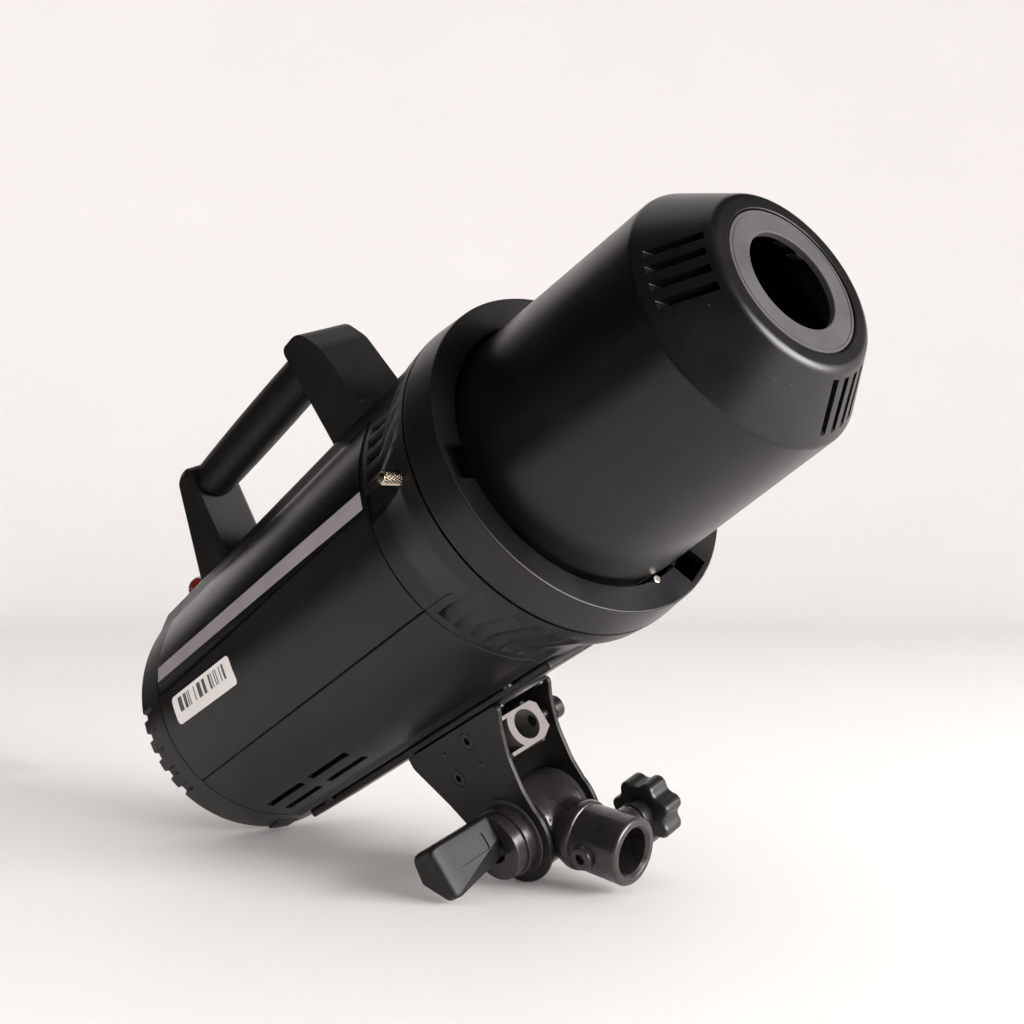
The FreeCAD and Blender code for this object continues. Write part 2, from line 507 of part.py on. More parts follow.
# ---- release ----
def make_release():
    """Spring-loaded slide that carries the lock pin, and the knurled knob that moves it."""
    track = block_sector(-19.0, -17.5, 53.4, 56.2, -95.0, 12.0)
    track = track.fuse(block_sector(-19.0, -17.5, PIN_AT - PIN_R, 56.0, PIN_TH - 4, PIN_TH + 4))
    track = track.fuse(block_sector(-19.0, -17.5, 50.2, 56.0, -44.0, -36.0))
    track = track.fuse(block_sector(-19.0, -17.5, 46.5, 56.0, 6.5, 12.0))
    track = track.fuse(block_sector(-27.5, -17.5, 46.5, 48.5, 6.5, 23.5))
    track = track.fuse(tube(spot(0, PIN_AT, PIN_TH), BEAM, -18.5, -0.9, PIN_R, corner=0.5))
    foot = V(KNOB_X, 0, 0)
    stem = tube(foot, radial(KNOB_TH), 47.0, KNOB_FOOT, 1.5)
    track = track.fuse(stem)
    knob = tube(foot, radial(KNOB_TH), KNOB_FOOT, KNOB_TOP, KNOB_R, corner=0.5)
    spring_at = spot(0, 52.4, -40.0)
    coil = Part.makeHelix(2.76, 13.8, 1.7)
    wire = Part.Wire(Part.makeCircle(0.35, V(1.7, 0, 0), V(0, 1, 0.32)))
    spring = Part.Wire(coil).makePipeShell([wire], True, True)
    spring.rotate(V(0, 0, 0), SIDE, -90)
    spring.translate(V(-19.4, 0, 0) + spring_at)
    return {"release_slide": track, "release_knob": knob, "release_spring": spring}


# ---- cap ----
def make_cap():
    """Protective cap: bayonet flange, slotted tube and nose insert."""
    half_lug = 6.0
    bayonet = lathe([(-12, 43.2, 0), (-12, 47.2, 0), (-10, 47.2, 0), (-10, 51.3, 0), (-8.5, 51.3, 0),
                     (-8.5, 47.2, 0), (-1.0, 47.2, 0), (-1.0, 43.2, 0)])
    lug_th = NOTCH_TH - TWIST_DEG
    for i in range(3):
        th = lug_th + 120 * i
        bayonet = bayonet.fuse(block_sector(-7.2, -4.1, 46, 56.3, th - half_lug, th + half_lug))
    slot = block_sector(-11, -7.8, PIN_AT - PIN_R - 0.5, 52, PIN_TH - TWIST_DEG - 2.6, PIN_TH + 2.6)
    bayonet = bayonet.cut(slot)
    shell = lathe([(-0.8, CAP_BACK_R - CAP_WALL - 1.4, 0), (-0.8, CAP_BACK_R, 0.4),
                   (CAP_SHOULDER_X, CAP_R, 3.0), (CAP_NOSE_X, CAP_NOSE_R, 3.6),
                   (CAP_NOSE_X, INSERT_R + 0.5, 0.4), (CAP_NOSE_X - 2.2, INSERT_R + 0.5, 0),
                   (CAP_NOSE_X - 2.2, INSERT_R - 2, 0), (CAP_NOSE_X - 4.0, INSERT_R - 2, 0),
                   (CAP_NOSE_X - 4.0, CAP_NOSE_R - 2.6 - 1.0, 1.0),
                   (CAP_SHOULDER_X - 1.2, CAP_R - CAP_WALL - 0.6, 2.0)])
    cuts = []
    for group in CAP_SLOT_GROUPS:
        out, across = radial(group), radial(group + 90)
        for step in (-1.5, -0.5, 0.5, 1.5):
            slot = Part.makeBox(13.6, 2.6, 30, V(81.4, -1.3, 20))
            slot.transformShape(FreeCAD.Placement(
                V(0, 0, 0), FreeCAD.Rotation(BEAM, across, out, "ZXY")).toMatrix())
            slot.translate(across * (5.6 * step))
            cuts.append(slot)
    shell = shell.cut(Part.makeCompound(cuts))
    insert = tube(V(0, 0, 0), BEAM, CAP_NOSE_X - 2.2, CAP_NOSE_X - 0.2, INSERT_R, NOSE_HOLE_R, 0.3)
    return {"cap_bayonet": bayonet, "cap_shell": shell, "cap_insert": insert}


# ---- tilt bracket ----
def bracket_plate():
    """Near plate, flat on the outside, with a round foot about the pivot."""
    outline = [(-84.3, -56.2, 2), (-90.0, -64.0, 30), (-95.0, -75.0, 30), (-97.6, -88.0, 20),
               (PIVOT_X + 16.0, PIVOT_Z + 5.0, 6), (PIVOT_X, PIVOT_Z, 0), (PIVOT_X - 17.0, PIVOT_Z + 6.0, 6),
               (-139.0, -80.0, 25), (-147.6, -61.0, 5), (-147.4, -56.2, 1)]
    plate = side_plate(outline, -PLATE_Y, -PLATE_Y + PLATE_THICK)
    pivot = V(PIVOT_X, 0, PIVOT_Z)
    foot = tube(pivot, SIDE, -PLATE_Y, -PLATE_Y + PLATE_THICK, PLATE_END_R)
    plate = plate.fuse(foot).removeSplitter()
    plate = plate.cut(tube(pivot, SIDE, -PLATE_Y - 1, -PLATE_Y + 3, BOLT_R))
    return bevel(plate, 0.5, lies_at("Y", -PLATE_Y))


def make_umbrella_block(inner):
    """Extruded holder between the plates: a sleeve for the shaft, two webs and the cheeks that hold it."""
    low, high = UMBRELLA_Z - UMBRELLA_BELOW, UMBRELLA_Z + UMBRELLA_ABOVE
    top, foot = UMBRELLA_Z + SLEEVE_TOP, UMBRELLA_Z + SLEEVE_FOOT
    back = UMBRELLA_X - UMBRELLA_LONG
    near_cheek = slab(back, UMBRELLA_X - CHEEK_BACK_NEAR, -inner, -inner + CHEEK, low, high)
    far_cheek = slab(back, UMBRELLA_X - CHEEK_BACK_FAR, inner - CHEEK, inner, low, high)
    far_webs = [slab(back, UMBRELLA_X - CHEEK_BACK_FAR, 6.0, inner, z, z + WEB) for z in (top - WEB, foot)]
    near_webs = [slab(back, UMBRELLA_X, -inner, 0, z, z + WEB) for z in (top - WEB, foot)]
    flats = [(0, top), (6.9, top), (9.4, top - 2.1), (9.4, UMBRELLA_Z - 4.9), (4.4, foot), (0, foot)]
    outline = Part.makePolygon([V(back, y, z) for y, z in flats + flats[:1]])
    sleeve = Part.Face(outline).extrude(BEAM * UMBRELLA_LONG)
    barrel = tube(V(back, 0, UMBRELLA_Z), BEAM, 0, UMBRELLA_LONG, SLEEVE_ROUND_R)
    barrel = barrel.common(slab(back, UMBRELLA_X, -12, 0, foot, top))
    block = sleeve.fuse([barrel, near_cheek, far_cheek] + far_webs + near_webs)
    return block.cut(tube(V(back - 1, 0, UMBRELLA_Z), BEAM, 0, 70, UMBRELLA_BORE_R))


def make_bracket():
    """Two plates, the saddle between them, the umbrella holder and all their screws."""
    inner = PLATE_Y - PLATE_THICK
    near = bracket_plate()
    for x, z in PLATE_SCREWS:
        near = near.cut(lathe([(-PLATE_Y - 0.1, 0, 0), (-PLATE_Y - 0.1, 3.4, 0), (-PLATE_Y + 1.2, 2.2, 0),
                               (-PLATE_Y + 3, 2.2, 0), (-PLATE_Y + 3, 0, 0)], V(x, 0, z), SIDE))
    far = mirrored(near)
    saddle = slab(-147.0, -84.5, -inner, inner, SADDLE_Z, SADDLE_Z + SADDLE_THICK)
    saddle = saddle.cut(tube(V(SADDLE_BITE_X, 0, 0), UP, -60, -50, SADDLE_BITE_R))
    block = make_umbrella_block(inner)
    holes = [tube(V(x, 0, z), SIDE * s, inner - CHEEK - 1, inner + 1, 2.25) for x, z in PLATE_SCREWS for s in (-1, 1)]
    screw_mid = V(UMBRELLA_X - UMBRELLA_SCREW_BACK, 0, UMBRELLA_Z)
    block = block.cut(Part.makeCompound(holes + [tube(screw_mid, SIDE, 0, 20, 2.5)]))
    far = far.cut(tube(screw_mid, SIDE, 5, 20, 2.5))
    screw = tube(screw_mid, SIDE, 6.6, PLATE_Y + 0.4, 2.5 - RUN)
    screw = screw.fuse(tube(screw_mid, SIDE, PLATE_Y + 0.4, PLATE_Y + 5.2, 4.6, corner=0.6))
    screw = screw.cut(hexagon(screw_mid + SIDE * (PLATE_Y + 3.2), SIDE, 2.3, 4))
    fixings = []
    for s in (-1, 1):
        out = SIDE * s
        for x, z in PLATE_SCREWS:
            head = lathe([(inner - CHEEK, 0, 0), (inner - CHEEK, 2.2, 0), (PLATE_Y - 1.2, 2.2, 0),
                          (PLATE_Y - 0.1, 3.15, 0), (PLATE_Y - 0.1, 0, 0)], V(x, 0, z), out)
            fixings.append(head.cut(hexagon(V(x, 0, z) + out * (PLATE_Y - 1.3), out, 1.5, 3)))
        for x, z in PLATE_RIVETS:
            fixings.append(tube(V(x, 0, z), out, PLATE_Y, PLATE_Y + 0.5, 1.4, corner=0.3))
        for x, y in SADDLE_SCREWS:
            fixings.append(tube(V(x, s * y, SADDLE_Z), V(0, 0, -1), 0, 0.9, 1.9, corner=0.3))
    return {"near_plate": near, "far_plate": far, "bracket_saddle": saddle, "umbrella_block": block,
            "umbrella_screw": screw, "bracket_screws": Part.makeCompound(fixings)}


# ---- stand adapter, bolt, lever and knob ----
def socket_axis():
    """Direction in which the stand socket opens."""
    drop = math.radians(SOCKET_DROP_DEG)
    return V(math.cos(drop), 0, -math.sin(drop))


def make_adapter():
    """Cast barrel and neck with the socket for the stand's spigot."""
    pivot, axis = V(PIVOT_X, 0, PIVOT_Z), socket_axis()
    barrel = tube(pivot, SIDE, -BARREL_HALF, BARREL_HALF, BARREL_R, corner=1.5)
    neck = lathe([(0, 0, 0), (0, 11.2, 0), (15.5, 11.0, 8), (21, 13.2, 2), (24.5, 13.2, 0.5), (24.5, 0, 0)], pivot, axis)
    mouth = lathe([(18, 0, 0), (18, SOCKET_R, 0), (SOCKET_LENGTH, SOCKET_R, 1.4), (SOCKET_LENGTH, 0, 0)], pivot, axis)
    knob_mid = pivot + axis * KNOB_ALONG
    boss_far = tube(knob_mid, SIDE, 8, 17.5, 6.2, corner=0.8)
    boss_near = tube(knob_mid, SIDE, -14.6, -8, 4.6, corner=0.8)
    body = barrel.fuse([neck, mouth, boss_far, boss_near])
    bore = tube(pivot, axis, 17.6, SOCKET_LENGTH + 1, SOCKET_BORE_R)
    lead = lathe([(SOCKET_LENGTH - 1.0, 0, 0), (SOCKET_LENGTH - 1.0, SOCKET_BORE_R, 0),
                  (SOCKET_LENGTH + 0.1, SOCKET_BORE_R + 1.1, 0), (SOCKET_LENGTH + 0.1, 0, 0)], pivot, axis)
    cuts = [bore, lead, tube(pivot, SIDE, -20, 20, BOLT_R + RUN), tube(knob_mid, SIDE, 0, 20, 3.0),
            hexagon(knob_mid - SIDE * 15, SIDE, 1.9, 3.5)]
    return body.cut(Part.makeCompound(cuts))


def make_stand_knob():
    """Star knob on the far side and the screw that bears on the stand's spigot."""
    axis = socket_axis()
    mid = V(PIVOT_X, 0, PIVOT_Z) + axis * KNOB_ALONG
    knob = tube(mid, SIDE, KNOB_Y0, KNOB_Y1, 11.6, corner=1.2)
    for i in range(KNOB_LOBES):
        a = math.radians(360 / KNOB_LOBES * i)
        lobe = V(mid.x + 10.0 * math.cos(a), 0, mid.z + 10.0 * math.sin(a))
        knob = knob.fuse(tube(lobe, SIDE, KNOB_Y0, KNOB_Y1, 3.4, corner=1.2))
    for i in range(KNOB_LOBES):
        a = math.radians(360 / KNOB_LOBES * (i + 0.5))
        dip = V(mid.x + 13.2 * math.cos(a), 0, mid.z + 13.2 * math.sin(a))
        knob = knob.cut(tube(dip, SIDE, KNOB_Y0 - 1, KNOB_Y1 + 1, 2.9))
    knob = knob.fuse(tube(mid, SIDE, 17.9, KNOB_Y0 + 0.5, 6.2, corner=0.5))
    screw = tube(mid, SIDE, 9.6, KNOB_Y1 - 2.5, 3.0 - RUN, corner=0.4)
    return {"stand_knob": knob.cut(screw), "stand_knob_screw": screw}


def make_pivot():
    """Through bolt with a far-side head, and the friction washers beside the barrel."""
    pivot = V(PIVOT_X, 0, PIVOT_Z)
    bolt = tube(pivot, SIDE, -24.0, PLATE_Y, BOLT_R, corner=0.4)
    head = hexagon(pivot + SIDE * PLATE_Y, SIDE, 7.4, 5.0)
    inner = PLATE_Y - PLATE_THICK
    washers = [tube(pivot, SIDE * s, BARREL_HALF + 0.15, inner, 15.0, BOLT_R) for s in (-1, 1)]
    washers.append(tube(pivot, SIDE, -PLATE_Y - 0.9, -PLATE_Y, 15.2, BOLT_R, 0.3))
    return {"pivot_bolt": bolt.fuse(head), "friction_washers": Part.makeCompound(washers)}


def make_lever():
    """Clamp lever: a round metal hub that opens into a wide moulded paddle."""
    pivot = V(PIVOT_X, 0, PIVOT_Z)
    hub = tube(pivot, SIDE, HUB_STEP_Y, -PLATE_Y - 0.95, HUB_R, BOLT_R + RUN, 0.5)
    hub = hub.fuse(tube(pivot, SIDE, HUB_END_Y, HUB_STEP_Y, HUB_END_R, BOLT_R + RUN, 0.5))
    hub = hub.cut(tube(pivot, SIDE, HUB_END_Y - 1, HUB_STEP_Y - 1, BOLT_R + 1.5))
    outline = [(HUB_END_Y, -88.2, 0), (LEVER_TIP_Y + 1.5, -87.2, 3), (LEVER_TIP_Y, -96.0, 20),
               (LEVER_TIP_Y + 1.2, -108.2, 3), (HUB_END_Y, -104.6, 0)]
    face = Part.Face(rounded_wire(outline, lambda a, b: V(LEVER_BACK_X, a, b)))
    paddle = face.extrude(V(LEVER_FRONT_X - LEVER_BACK_X, 0, 0))
    trim = side_plate([(LEVER_BACK_X - 1, -112, 0), (LEVER_BACK_X + 8.5, -112, 0), (LEVER_BACK_X - 1, -97, 0)], -70, -20)
    paddle = paddle.cut(trim)
    recess = slab(LEVER_FRONT_X - 0.6, LEVER_FRONT_X + 1, -48.0, -32.0, -99.4, -92.6)
    recess = soften(recess, 1.2, lambda e: e.BoundBox.XLength > 1 and e.BoundBox.YLength < 1e-4)
    paddle = soften(paddle, 1.4, lies_at("X", LEVER_FRONT_X)).cut(recess)
    ends = [(HUB_END_Y + 0.1, ((0.01, -97.6), (-5.0, -105.5), (2.0, -106.0))),
            (LEVER_TIP_Y - 0.1, ((0.01, -107.3), (-0.6, -108.6), (2.0, -109.0)))]
    wires = [Part.makePolygon([V(LEVER_FRONT_X + a, y, z) for a, z in tri + tri[:1]]) for y, tri in ends]
    paddle = paddle.cut(Part.makeLoft(wires, True))
    return {"lever_hub": hub, "lever_paddle": paddle}


# ---- assembly ----
def build():
    """Every part by name, in the lamp's frame."""
    parts = {}
    parts.update(make_shells())
    parts["front_shroud"] = make_front_shroud()
    parts["mount_ring"] = make_mount_ring()
    parts["rear_bezel"] = make_rear_bezel()
    parts["rear_feet"] = both_sides(foot_pad(0.7))
    parts["bottom_rail"] = make_bottom_rail()
    parts["housing_screws"] = make_screws()
    parts.update(make_handle())
    parts.update(make_labels())
    parts.update(make_lamp())
    parts.update(make_inside())
    parts.update(make_rear())
    parts["slave_sensor"] = make_slave_sensor()
    parts.update(make_release())
    parts.update(make_cap())
    parts.update(make_bracket())
    parts["stand_adapter"] = make_adapter()
    parts.update(make_stand_knob())
    parts.update(make_pivot())
    parts.update(make_lever())
    return parts


def lay_down(parts):
    """Pitches and rolls the lamp onto the floor, its box centred over the origin."""
    turn = FreeCAD.Rotation(SIDE, -PITCH_DEG).multiply(FreeCAD.Rotation(BEAM, ROLL_DEG))
    matrix = FreeCAD.Placement(V(0, 0, 0), turn).toMatrix()
    laid = {name: shape.transformed(matrix) for name, shape in parts.items()}
    boxes = [shape.optimalBoundingBox(False) for shape in laid.values()]
    middle_x = (min(b.XMin for b in boxes) + max(b.XMax for b in boxes)) / 2
    middle_y = (min(b.YMin for b in boxes) + max(b.YMax for b in boxes)) / 2
    shift = V(-middle_x, -middle_y, -min(b.ZMin for b in boxes))
    for shape in laid.values():
        shape.translate(shift)
    print("shift", tuple(round(c, 3) for c in shift))
    return laid


os.makedirs("parts", exist_ok=True)
for name, shape in lay_down(build()).items():
    if not shape.isValid():
        print("invalid", name)
    shape.exportStep("parts/" + name + ".step")
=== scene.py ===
"""Looks of a studio flash head: its mouldings, castings, trim and studio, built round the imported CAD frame.

Every shape is drawn in the lamp's own frame, in millimetres: X along the beam, Y across and Z up through the
handle, with the origin at the centre of the accessory ring's front plane. An angle "th", in degrees, goes
round the beam from -Y towards +Z. LampFrame turns the finished mesh into the row frame.
"""

import json
import logging
import math
from dataclasses import dataclass, field
from enum import Enum
from typing import Callable, Iterable, Sequence

import bmesh
import bpy
import numpy as np
from bmesh.types import BMEdge, BMesh
from mathutils import Matrix, Vector

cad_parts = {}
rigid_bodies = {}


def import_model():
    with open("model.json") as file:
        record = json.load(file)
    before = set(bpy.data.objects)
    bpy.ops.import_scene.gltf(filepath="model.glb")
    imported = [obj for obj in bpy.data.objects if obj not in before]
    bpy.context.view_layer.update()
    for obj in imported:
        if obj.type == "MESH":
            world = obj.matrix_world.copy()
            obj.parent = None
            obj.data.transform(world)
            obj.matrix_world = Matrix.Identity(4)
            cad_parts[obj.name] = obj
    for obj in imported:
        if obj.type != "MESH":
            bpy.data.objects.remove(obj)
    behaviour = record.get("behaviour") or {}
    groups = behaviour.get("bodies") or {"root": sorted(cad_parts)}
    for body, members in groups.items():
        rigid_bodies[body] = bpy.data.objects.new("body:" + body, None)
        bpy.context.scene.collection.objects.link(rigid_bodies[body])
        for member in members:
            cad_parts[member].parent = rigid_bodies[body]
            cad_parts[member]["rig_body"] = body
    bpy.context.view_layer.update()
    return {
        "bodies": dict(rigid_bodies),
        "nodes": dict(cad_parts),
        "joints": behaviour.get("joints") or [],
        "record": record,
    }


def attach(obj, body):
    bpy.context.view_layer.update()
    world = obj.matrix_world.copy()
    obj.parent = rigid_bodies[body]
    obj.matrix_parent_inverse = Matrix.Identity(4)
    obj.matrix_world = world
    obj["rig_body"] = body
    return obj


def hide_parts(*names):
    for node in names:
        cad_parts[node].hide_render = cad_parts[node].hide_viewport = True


MM = 0.001

Point = tuple[float, float]
Corner = tuple[float, float, float]
Colour = tuple[float, float, float]

log = logging.getLogger("flash_head")


class Side(Enum):
    """Sides of the lamp, as the sign of Y."""

    NEAR = -1
    FAR = 1


class Surface(Enum):
    """How a finish breaks up the light."""

    GRAINED = "grained"
    BRUSHED = "brushed"
    PEBBLED = "pebbled"
    SMOOTH = "smooth"


# ---- finishes ----
@dataclass(frozen=True)
class Finish:
    """A procedural material on object coordinates, in metres."""

    name: str
    colour: Colour
    roughness: float
    metallic: float = 0.0
    surface: Surface = Surface.GRAINED
    grain_mm: float = 0.35
    grain_depth: float = 0.05
    mottle: float = 0.25
    patch_mm: float = 18.0
    rub: float = 0.06
    dust: float = 0.0
    coat: float = 0.0
    specular: float = 0.5

    def material(self) -> bpy.types.Material:
        """The finish's material, made once.

        Returns:
            The Blender material with this finish's name.
        """
        known = bpy.data.materials.get(self.name)
        if known:
            return known
        made = bpy.data.materials.new(self.name)
        made.use_nodes = True
        made.diffuse_color = (*self.colour, 1.0)
        sheet = Sheet(made.node_tree)
        shader = sheet.find("BSDF_PRINCIPLED")
        shader.inputs["Metallic"].default_value = self.metallic
        shader.inputs["Specular IOR Level"].default_value = self.specular
        shader.inputs["Coat Weight"].default_value = self.coat
        shader.inputs["Coat Roughness"].default_value = 0.12
        place = sheet.add("ShaderNodeTexCoord").outputs["Object"]
        self.paint(sheet, shader, place)
        return made

    def paint(self, sheet: "Sheet", shader: bpy.types.Node, place: bpy.types.NodeSocket) -> None:
        """Adds colour, roughness and bump.

        Args:
            sheet: The material's nodes.
            shader: Its Principled shader.
            place: Object coordinates.
        """
        patches = sheet.noise(place, 1.0 / (self.patch_mm * MM), 5.0)
        fine = sheet.noise(place, 1.0 / (self.grain_mm * 3.0 * MM), 3.0)
        light = tuple(c * (1.0 + self.mottle) for c in self.colour)
        dark = tuple(c * (1.0 - self.mottle) for c in self.colour)
        colour = sheet.blend(sheet.ramp(patches, 0.3, 0.7), dark, light)
        if self.dust:
            specks = sheet.cells(place, 1.0 / (2.6 * MM))
            sparse = sheet.ramp(specks, 0.075, 0.03)
            grouped = sheet.maths("MULTIPLY", sparse, sheet.ramp(patches, 0.50, 0.62))
            amount = sheet.maths("MULTIPLY", grouped, self.dust)
            colour = sheet.blend(amount, colour, (0.32, 0.30, 0.28))
        sheet.join(colour, shader.inputs["Base Color"])
        low, high = self.roughness - self.rub, self.roughness + self.rub
        mixed = sheet.maths("ADD", sheet.maths("MULTIPLY", patches, 0.7), sheet.maths("MULTIPLY", fine, 0.3))
        sheet.join(sheet.spread(mixed, 0.3, 0.7, low, high), shader.inputs["Roughness"])
        self.relief(sheet, shader, place)

    def relief(self, sheet: "Sheet", shader: bpy.types.Node, place: bpy.types.NodeSocket) -> None:
        """Adds the bump that belongs to the surface kind.

        Args:
            sheet: The material's nodes.
            shader: Its Principled shader.
            place: Object coordinates.
        """
        if self.surface is Surface.SMOOTH:
            height = sheet.noise(place, 1.0 / (9.0 * MM), 1.0)
        elif self.surface is Surface.BRUSHED:
            along = sheet.add("ShaderNodeMapping")
            along.inputs["Scale"].default_value = (0.05, 1.0, 1.0)
            sheet.join(place, along.inputs["Vector"])
            height = sheet.noise(along.outputs["Vector"], 1.0 / (self.grain_mm * MM), 4.0)
        elif self.surface is Surface.PEBBLED:
            height = sheet.cells(place, 1.0 / (self.grain_mm * MM))
        else:
            height = sheet.noise(place, 1.0 / (self.grain_mm * MM), 2.0)
        bump = sheet.add("ShaderNodeBump")
        bump.inputs["Strength"].default_value = 1.0
        bump.inputs["Distance"].default_value = self.grain_depth * MM
        sheet.join(height, bump.inputs["Height"])
        sheet.join(bump.outputs["Normal"], shader.inputs["Normal"])


@dataclass(frozen=True)
class ClearFinish(Finish):
    """Glass or a tinted lens."""

    tint_through: float = 1.0

    def paint(self, sheet: "Sheet", shader: bpy.types.Node, place: bpy.types.NodeSocket) -> None:
        """Adds transmission to the plain finish.

        Args:
            sheet: The material's nodes.
            shader: Its Principled shader.
            place: Object coordinates.
        """
        Finish.paint(self, sheet, shader, place)
        shader.inputs["Transmission Weight"].default_value = self.tint_through
        shader.inputs["IOR"].default_value = 1.46


@dataclass(frozen=True)
class BarredPaper(Finish):
    """White paper with a band of plain upright bars that spell nothing."""

    low: Point = (0.0, 0.0)
    high: Point = (1.0, 1.0)
    bars: float = 66.0

    def paint(self, sheet: "Sheet", shader: bpy.types.Node, place: bpy.types.NodeSocket) -> None:
        """Prints bars inside a rectangle of the piece's own UV map.

        Args:
            sheet: The material's nodes.
            shader: Its Principled shader.
            place: Object coordinates.
        """
        Finish.paint(self, sheet, shader, place)
        flat = sheet.add("ShaderNodeUVMap")
        flat.uv_map = "UVMap"
        split = sheet.add("ShaderNodeSeparateXYZ")
        sheet.join(flat.outputs["UV"], split.inputs["Vector"])
        across, up = split.outputs["X"], split.outputs["Y"]
        step = sheet.maths("FLOOR", sheet.maths("MULTIPLY", across, self.bars))
        chance = sheet.add("ShaderNodeTexWhiteNoise")
        chance.noise_dimensions = "1D"
        sheet.join(step, chance.inputs["W"])
        ink = sheet.maths("GREATER_THAN", chance.outputs["Value"], 0.45)
        for value, low, high in ((across, self.low[0], self.high[0]), (up, self.low[1], self.high[1])):
            ink = sheet.maths("MULTIPLY", ink, sheet.maths("GREATER_THAN", value, low))
            ink = sheet.maths("MULTIPLY", ink, sheet.maths("LESS_THAN", value, high))
        paper = shader.inputs["Base Color"].links[0].from_socket
        faded = sheet.maths("MULTIPLY", ink, 0.96)
        sheet.join(sheet.blend(faded, paper, (0.05, 0.045, 0.045)), shader.inputs["Base Color"])


class Sheet:
    """Short ways to add shader nodes."""

    def __init__(self, tree: bpy.types.NodeTree) -> None:
        """Keeps the tree that the nodes go in."""
        self.tree = tree

    def add(self, kind: str) -> bpy.types.Node:
        """Adds a node of that type."""
        return self.tree.nodes.new(kind)

    def find(self, kind: str) -> bpy.types.Node:
        """The first node of that type."""
        return next(n for n in self.tree.nodes if n.type == kind)

    def join(self, out: bpy.types.NodeSocket, into: bpy.types.NodeSocket) -> None:
        """Links two sockets."""
        self.tree.links.new(out, into)

    def feed(self, socket: bpy.types.NodeSocket, value: object) -> None:
        """Links a socket or sets a constant.

        Args:
            socket: The input to fill.
            value: A socket, a number or a colour.
        """
        if isinstance(value, bpy.types.NodeSocket):
            self.join(value, socket)
        elif isinstance(value, tuple):
            socket.default_value = (*value, 1.0)
        else:
            socket.default_value = value

    def noise(self, place: bpy.types.NodeSocket, scale: float, detail: float) -> bpy.types.NodeSocket:
        """Noise from 0 to 1.

        Args:
            place: Coordinates.
            scale: Cells a metre.
            detail: Octaves.

        Returns:
            The noise value.
        """
        node = self.add("ShaderNodeTexNoise")
        node.inputs["Scale"].default_value = scale
        node.inputs["Detail"].default_value = detail
        self.join(place, node.inputs["Vector"])
        return node.outputs["Fac"]

    def cells(self, place: bpy.types.NodeSocket, scale: float) -> bpy.types.NodeSocket:
        """Distance to the nearest of scattered points.

        Args:
            place: Coordinates.
            scale: Cells a metre.

        Returns:
            The distance, 0 at a point.
        """
        node = self.add("ShaderNodeTexVoronoi")
        node.inputs["Scale"].default_value = scale
        self.join(place, node.inputs["Vector"])
        return node.outputs["Distance"]

    def maths(self, operation: str, a: object, b: object = 0.0) -> bpy.types.NodeSocket:
        """One Math node.

        Args:
            operation: Its operation.
            a: First value or socket.
            b: Second value or socket.

        Returns:
            The result.
        """
        node = self.add("ShaderNodeMath")
        node.operation = operation
        self.feed(node.inputs[0], a)
        self.feed(node.inputs[1], b)
        return node.outputs[0]

    def spread(self, value: object, a0: float, a1: float, b0: float, b1: float) -> bpy.types.NodeSocket:
        """Maps a range onto another, clamped.

        Args:
            value: Socket to map.
            a0: Start of its range.
            a1: End of its range.
            b0: Result at the start.
            b1: Result at the end.

        Returns:
            The mapped value.
        """
        node = self.add("ShaderNodeMapRange")
        for socket, number in zip(("From Min", "From Max", "To Min", "To Max"), (a0, a1, b0, b1)):
            node.inputs[socket].default_value = number
        self.feed(node.inputs["Value"], value)
        return node.outputs["Result"]

    def ramp(self, value: object, low: float, high: float) -> bpy.types.NodeSocket:
        """0 at low and 1 at high, clamped."""
        return self.spread(value, low, high, 0.0, 1.0)

    def blend(self, share: object, a: object, b: object) -> bpy.types.NodeSocket:
        """Mixes two colours.

        Args:
            share: How much of the second.
            a: First colour.
            b: Second colour.

        Returns:
            The mixed colour.
        """
        node = self.add("ShaderNodeMix")
        node.data_type = "RGBA"
        self.feed(node.inputs["Factor"], share)
        self.feed(node.inputs[6], a)
        self.feed(node.inputs[7], b)
        return node.outputs[2]


SHELL = Finish("satin_shell_black", (0.0055, 0.0051, 0.0052), 0.38, grain_mm=0.30, grain_depth=0.012,
               dust=0.25, specular=0.34)
SHROUD = Finish("shroud_black", (0.0058, 0.0054, 0.0055), 0.38, grain_mm=0.30, grain_depth=0.014, dust=0.25,
                specular=0.34)
CAP = Finish("cap_satin_black", (0.0045, 0.0042, 0.0043), 0.32, grain_mm=0.25, grain_depth=0.006, rub=0.04,
             dust=0.8, specular=0.42)
INSERT = Finish("insert_matt_grey", (0.046, 0.042, 0.043), 0.58, grain_mm=0.5, grain_depth=0.02, dust=0.3,
                specular=0.35)
RING = Finish("ring_enamel", (0.0075, 0.0070, 0.0071), 0.36, grain_mm=0.3, grain_depth=0.015, dust=0.5,
              specular=0.4)
RING_LIP = Finish("ring_pebbled", (0.0065, 0.0062, 0.0062), 0.42, surface=Surface.PEBBLED, grain_mm=0.85,
                  grain_depth=0.26, dust=0.3, specular=0.3)
HANDLE = Finish("handle_fine_grain", (0.0085, 0.0080, 0.0080), 0.47, grain_mm=0.4, grain_depth=0.025,
                specular=0.32)
GRIP = Finish("grip_sleeve_rubber", (0.0065, 0.0062, 0.0062), 0.50, grain_mm=0.22, grain_depth=0.012,
              specular=0.3)
FEET = Finish("foot_rubber", (0.02, 0.02, 0.02), 0.72, grain_mm=0.3, grain_depth=0.03)
PANEL = Finish("gloss_side_panel", (0.003, 0.003, 0.0035), 0.24, surface=Surface.SMOOTH, grain_depth=0.004,
               rub=0.01, mottle=0.1, dust=0.1, specular=0.16)
STRIPE = Finish("lilac_grey_print", (0.30, 0.265, 0.285), 0.38, grain_mm=0.25, grain_depth=0.004, mottle=0.08)
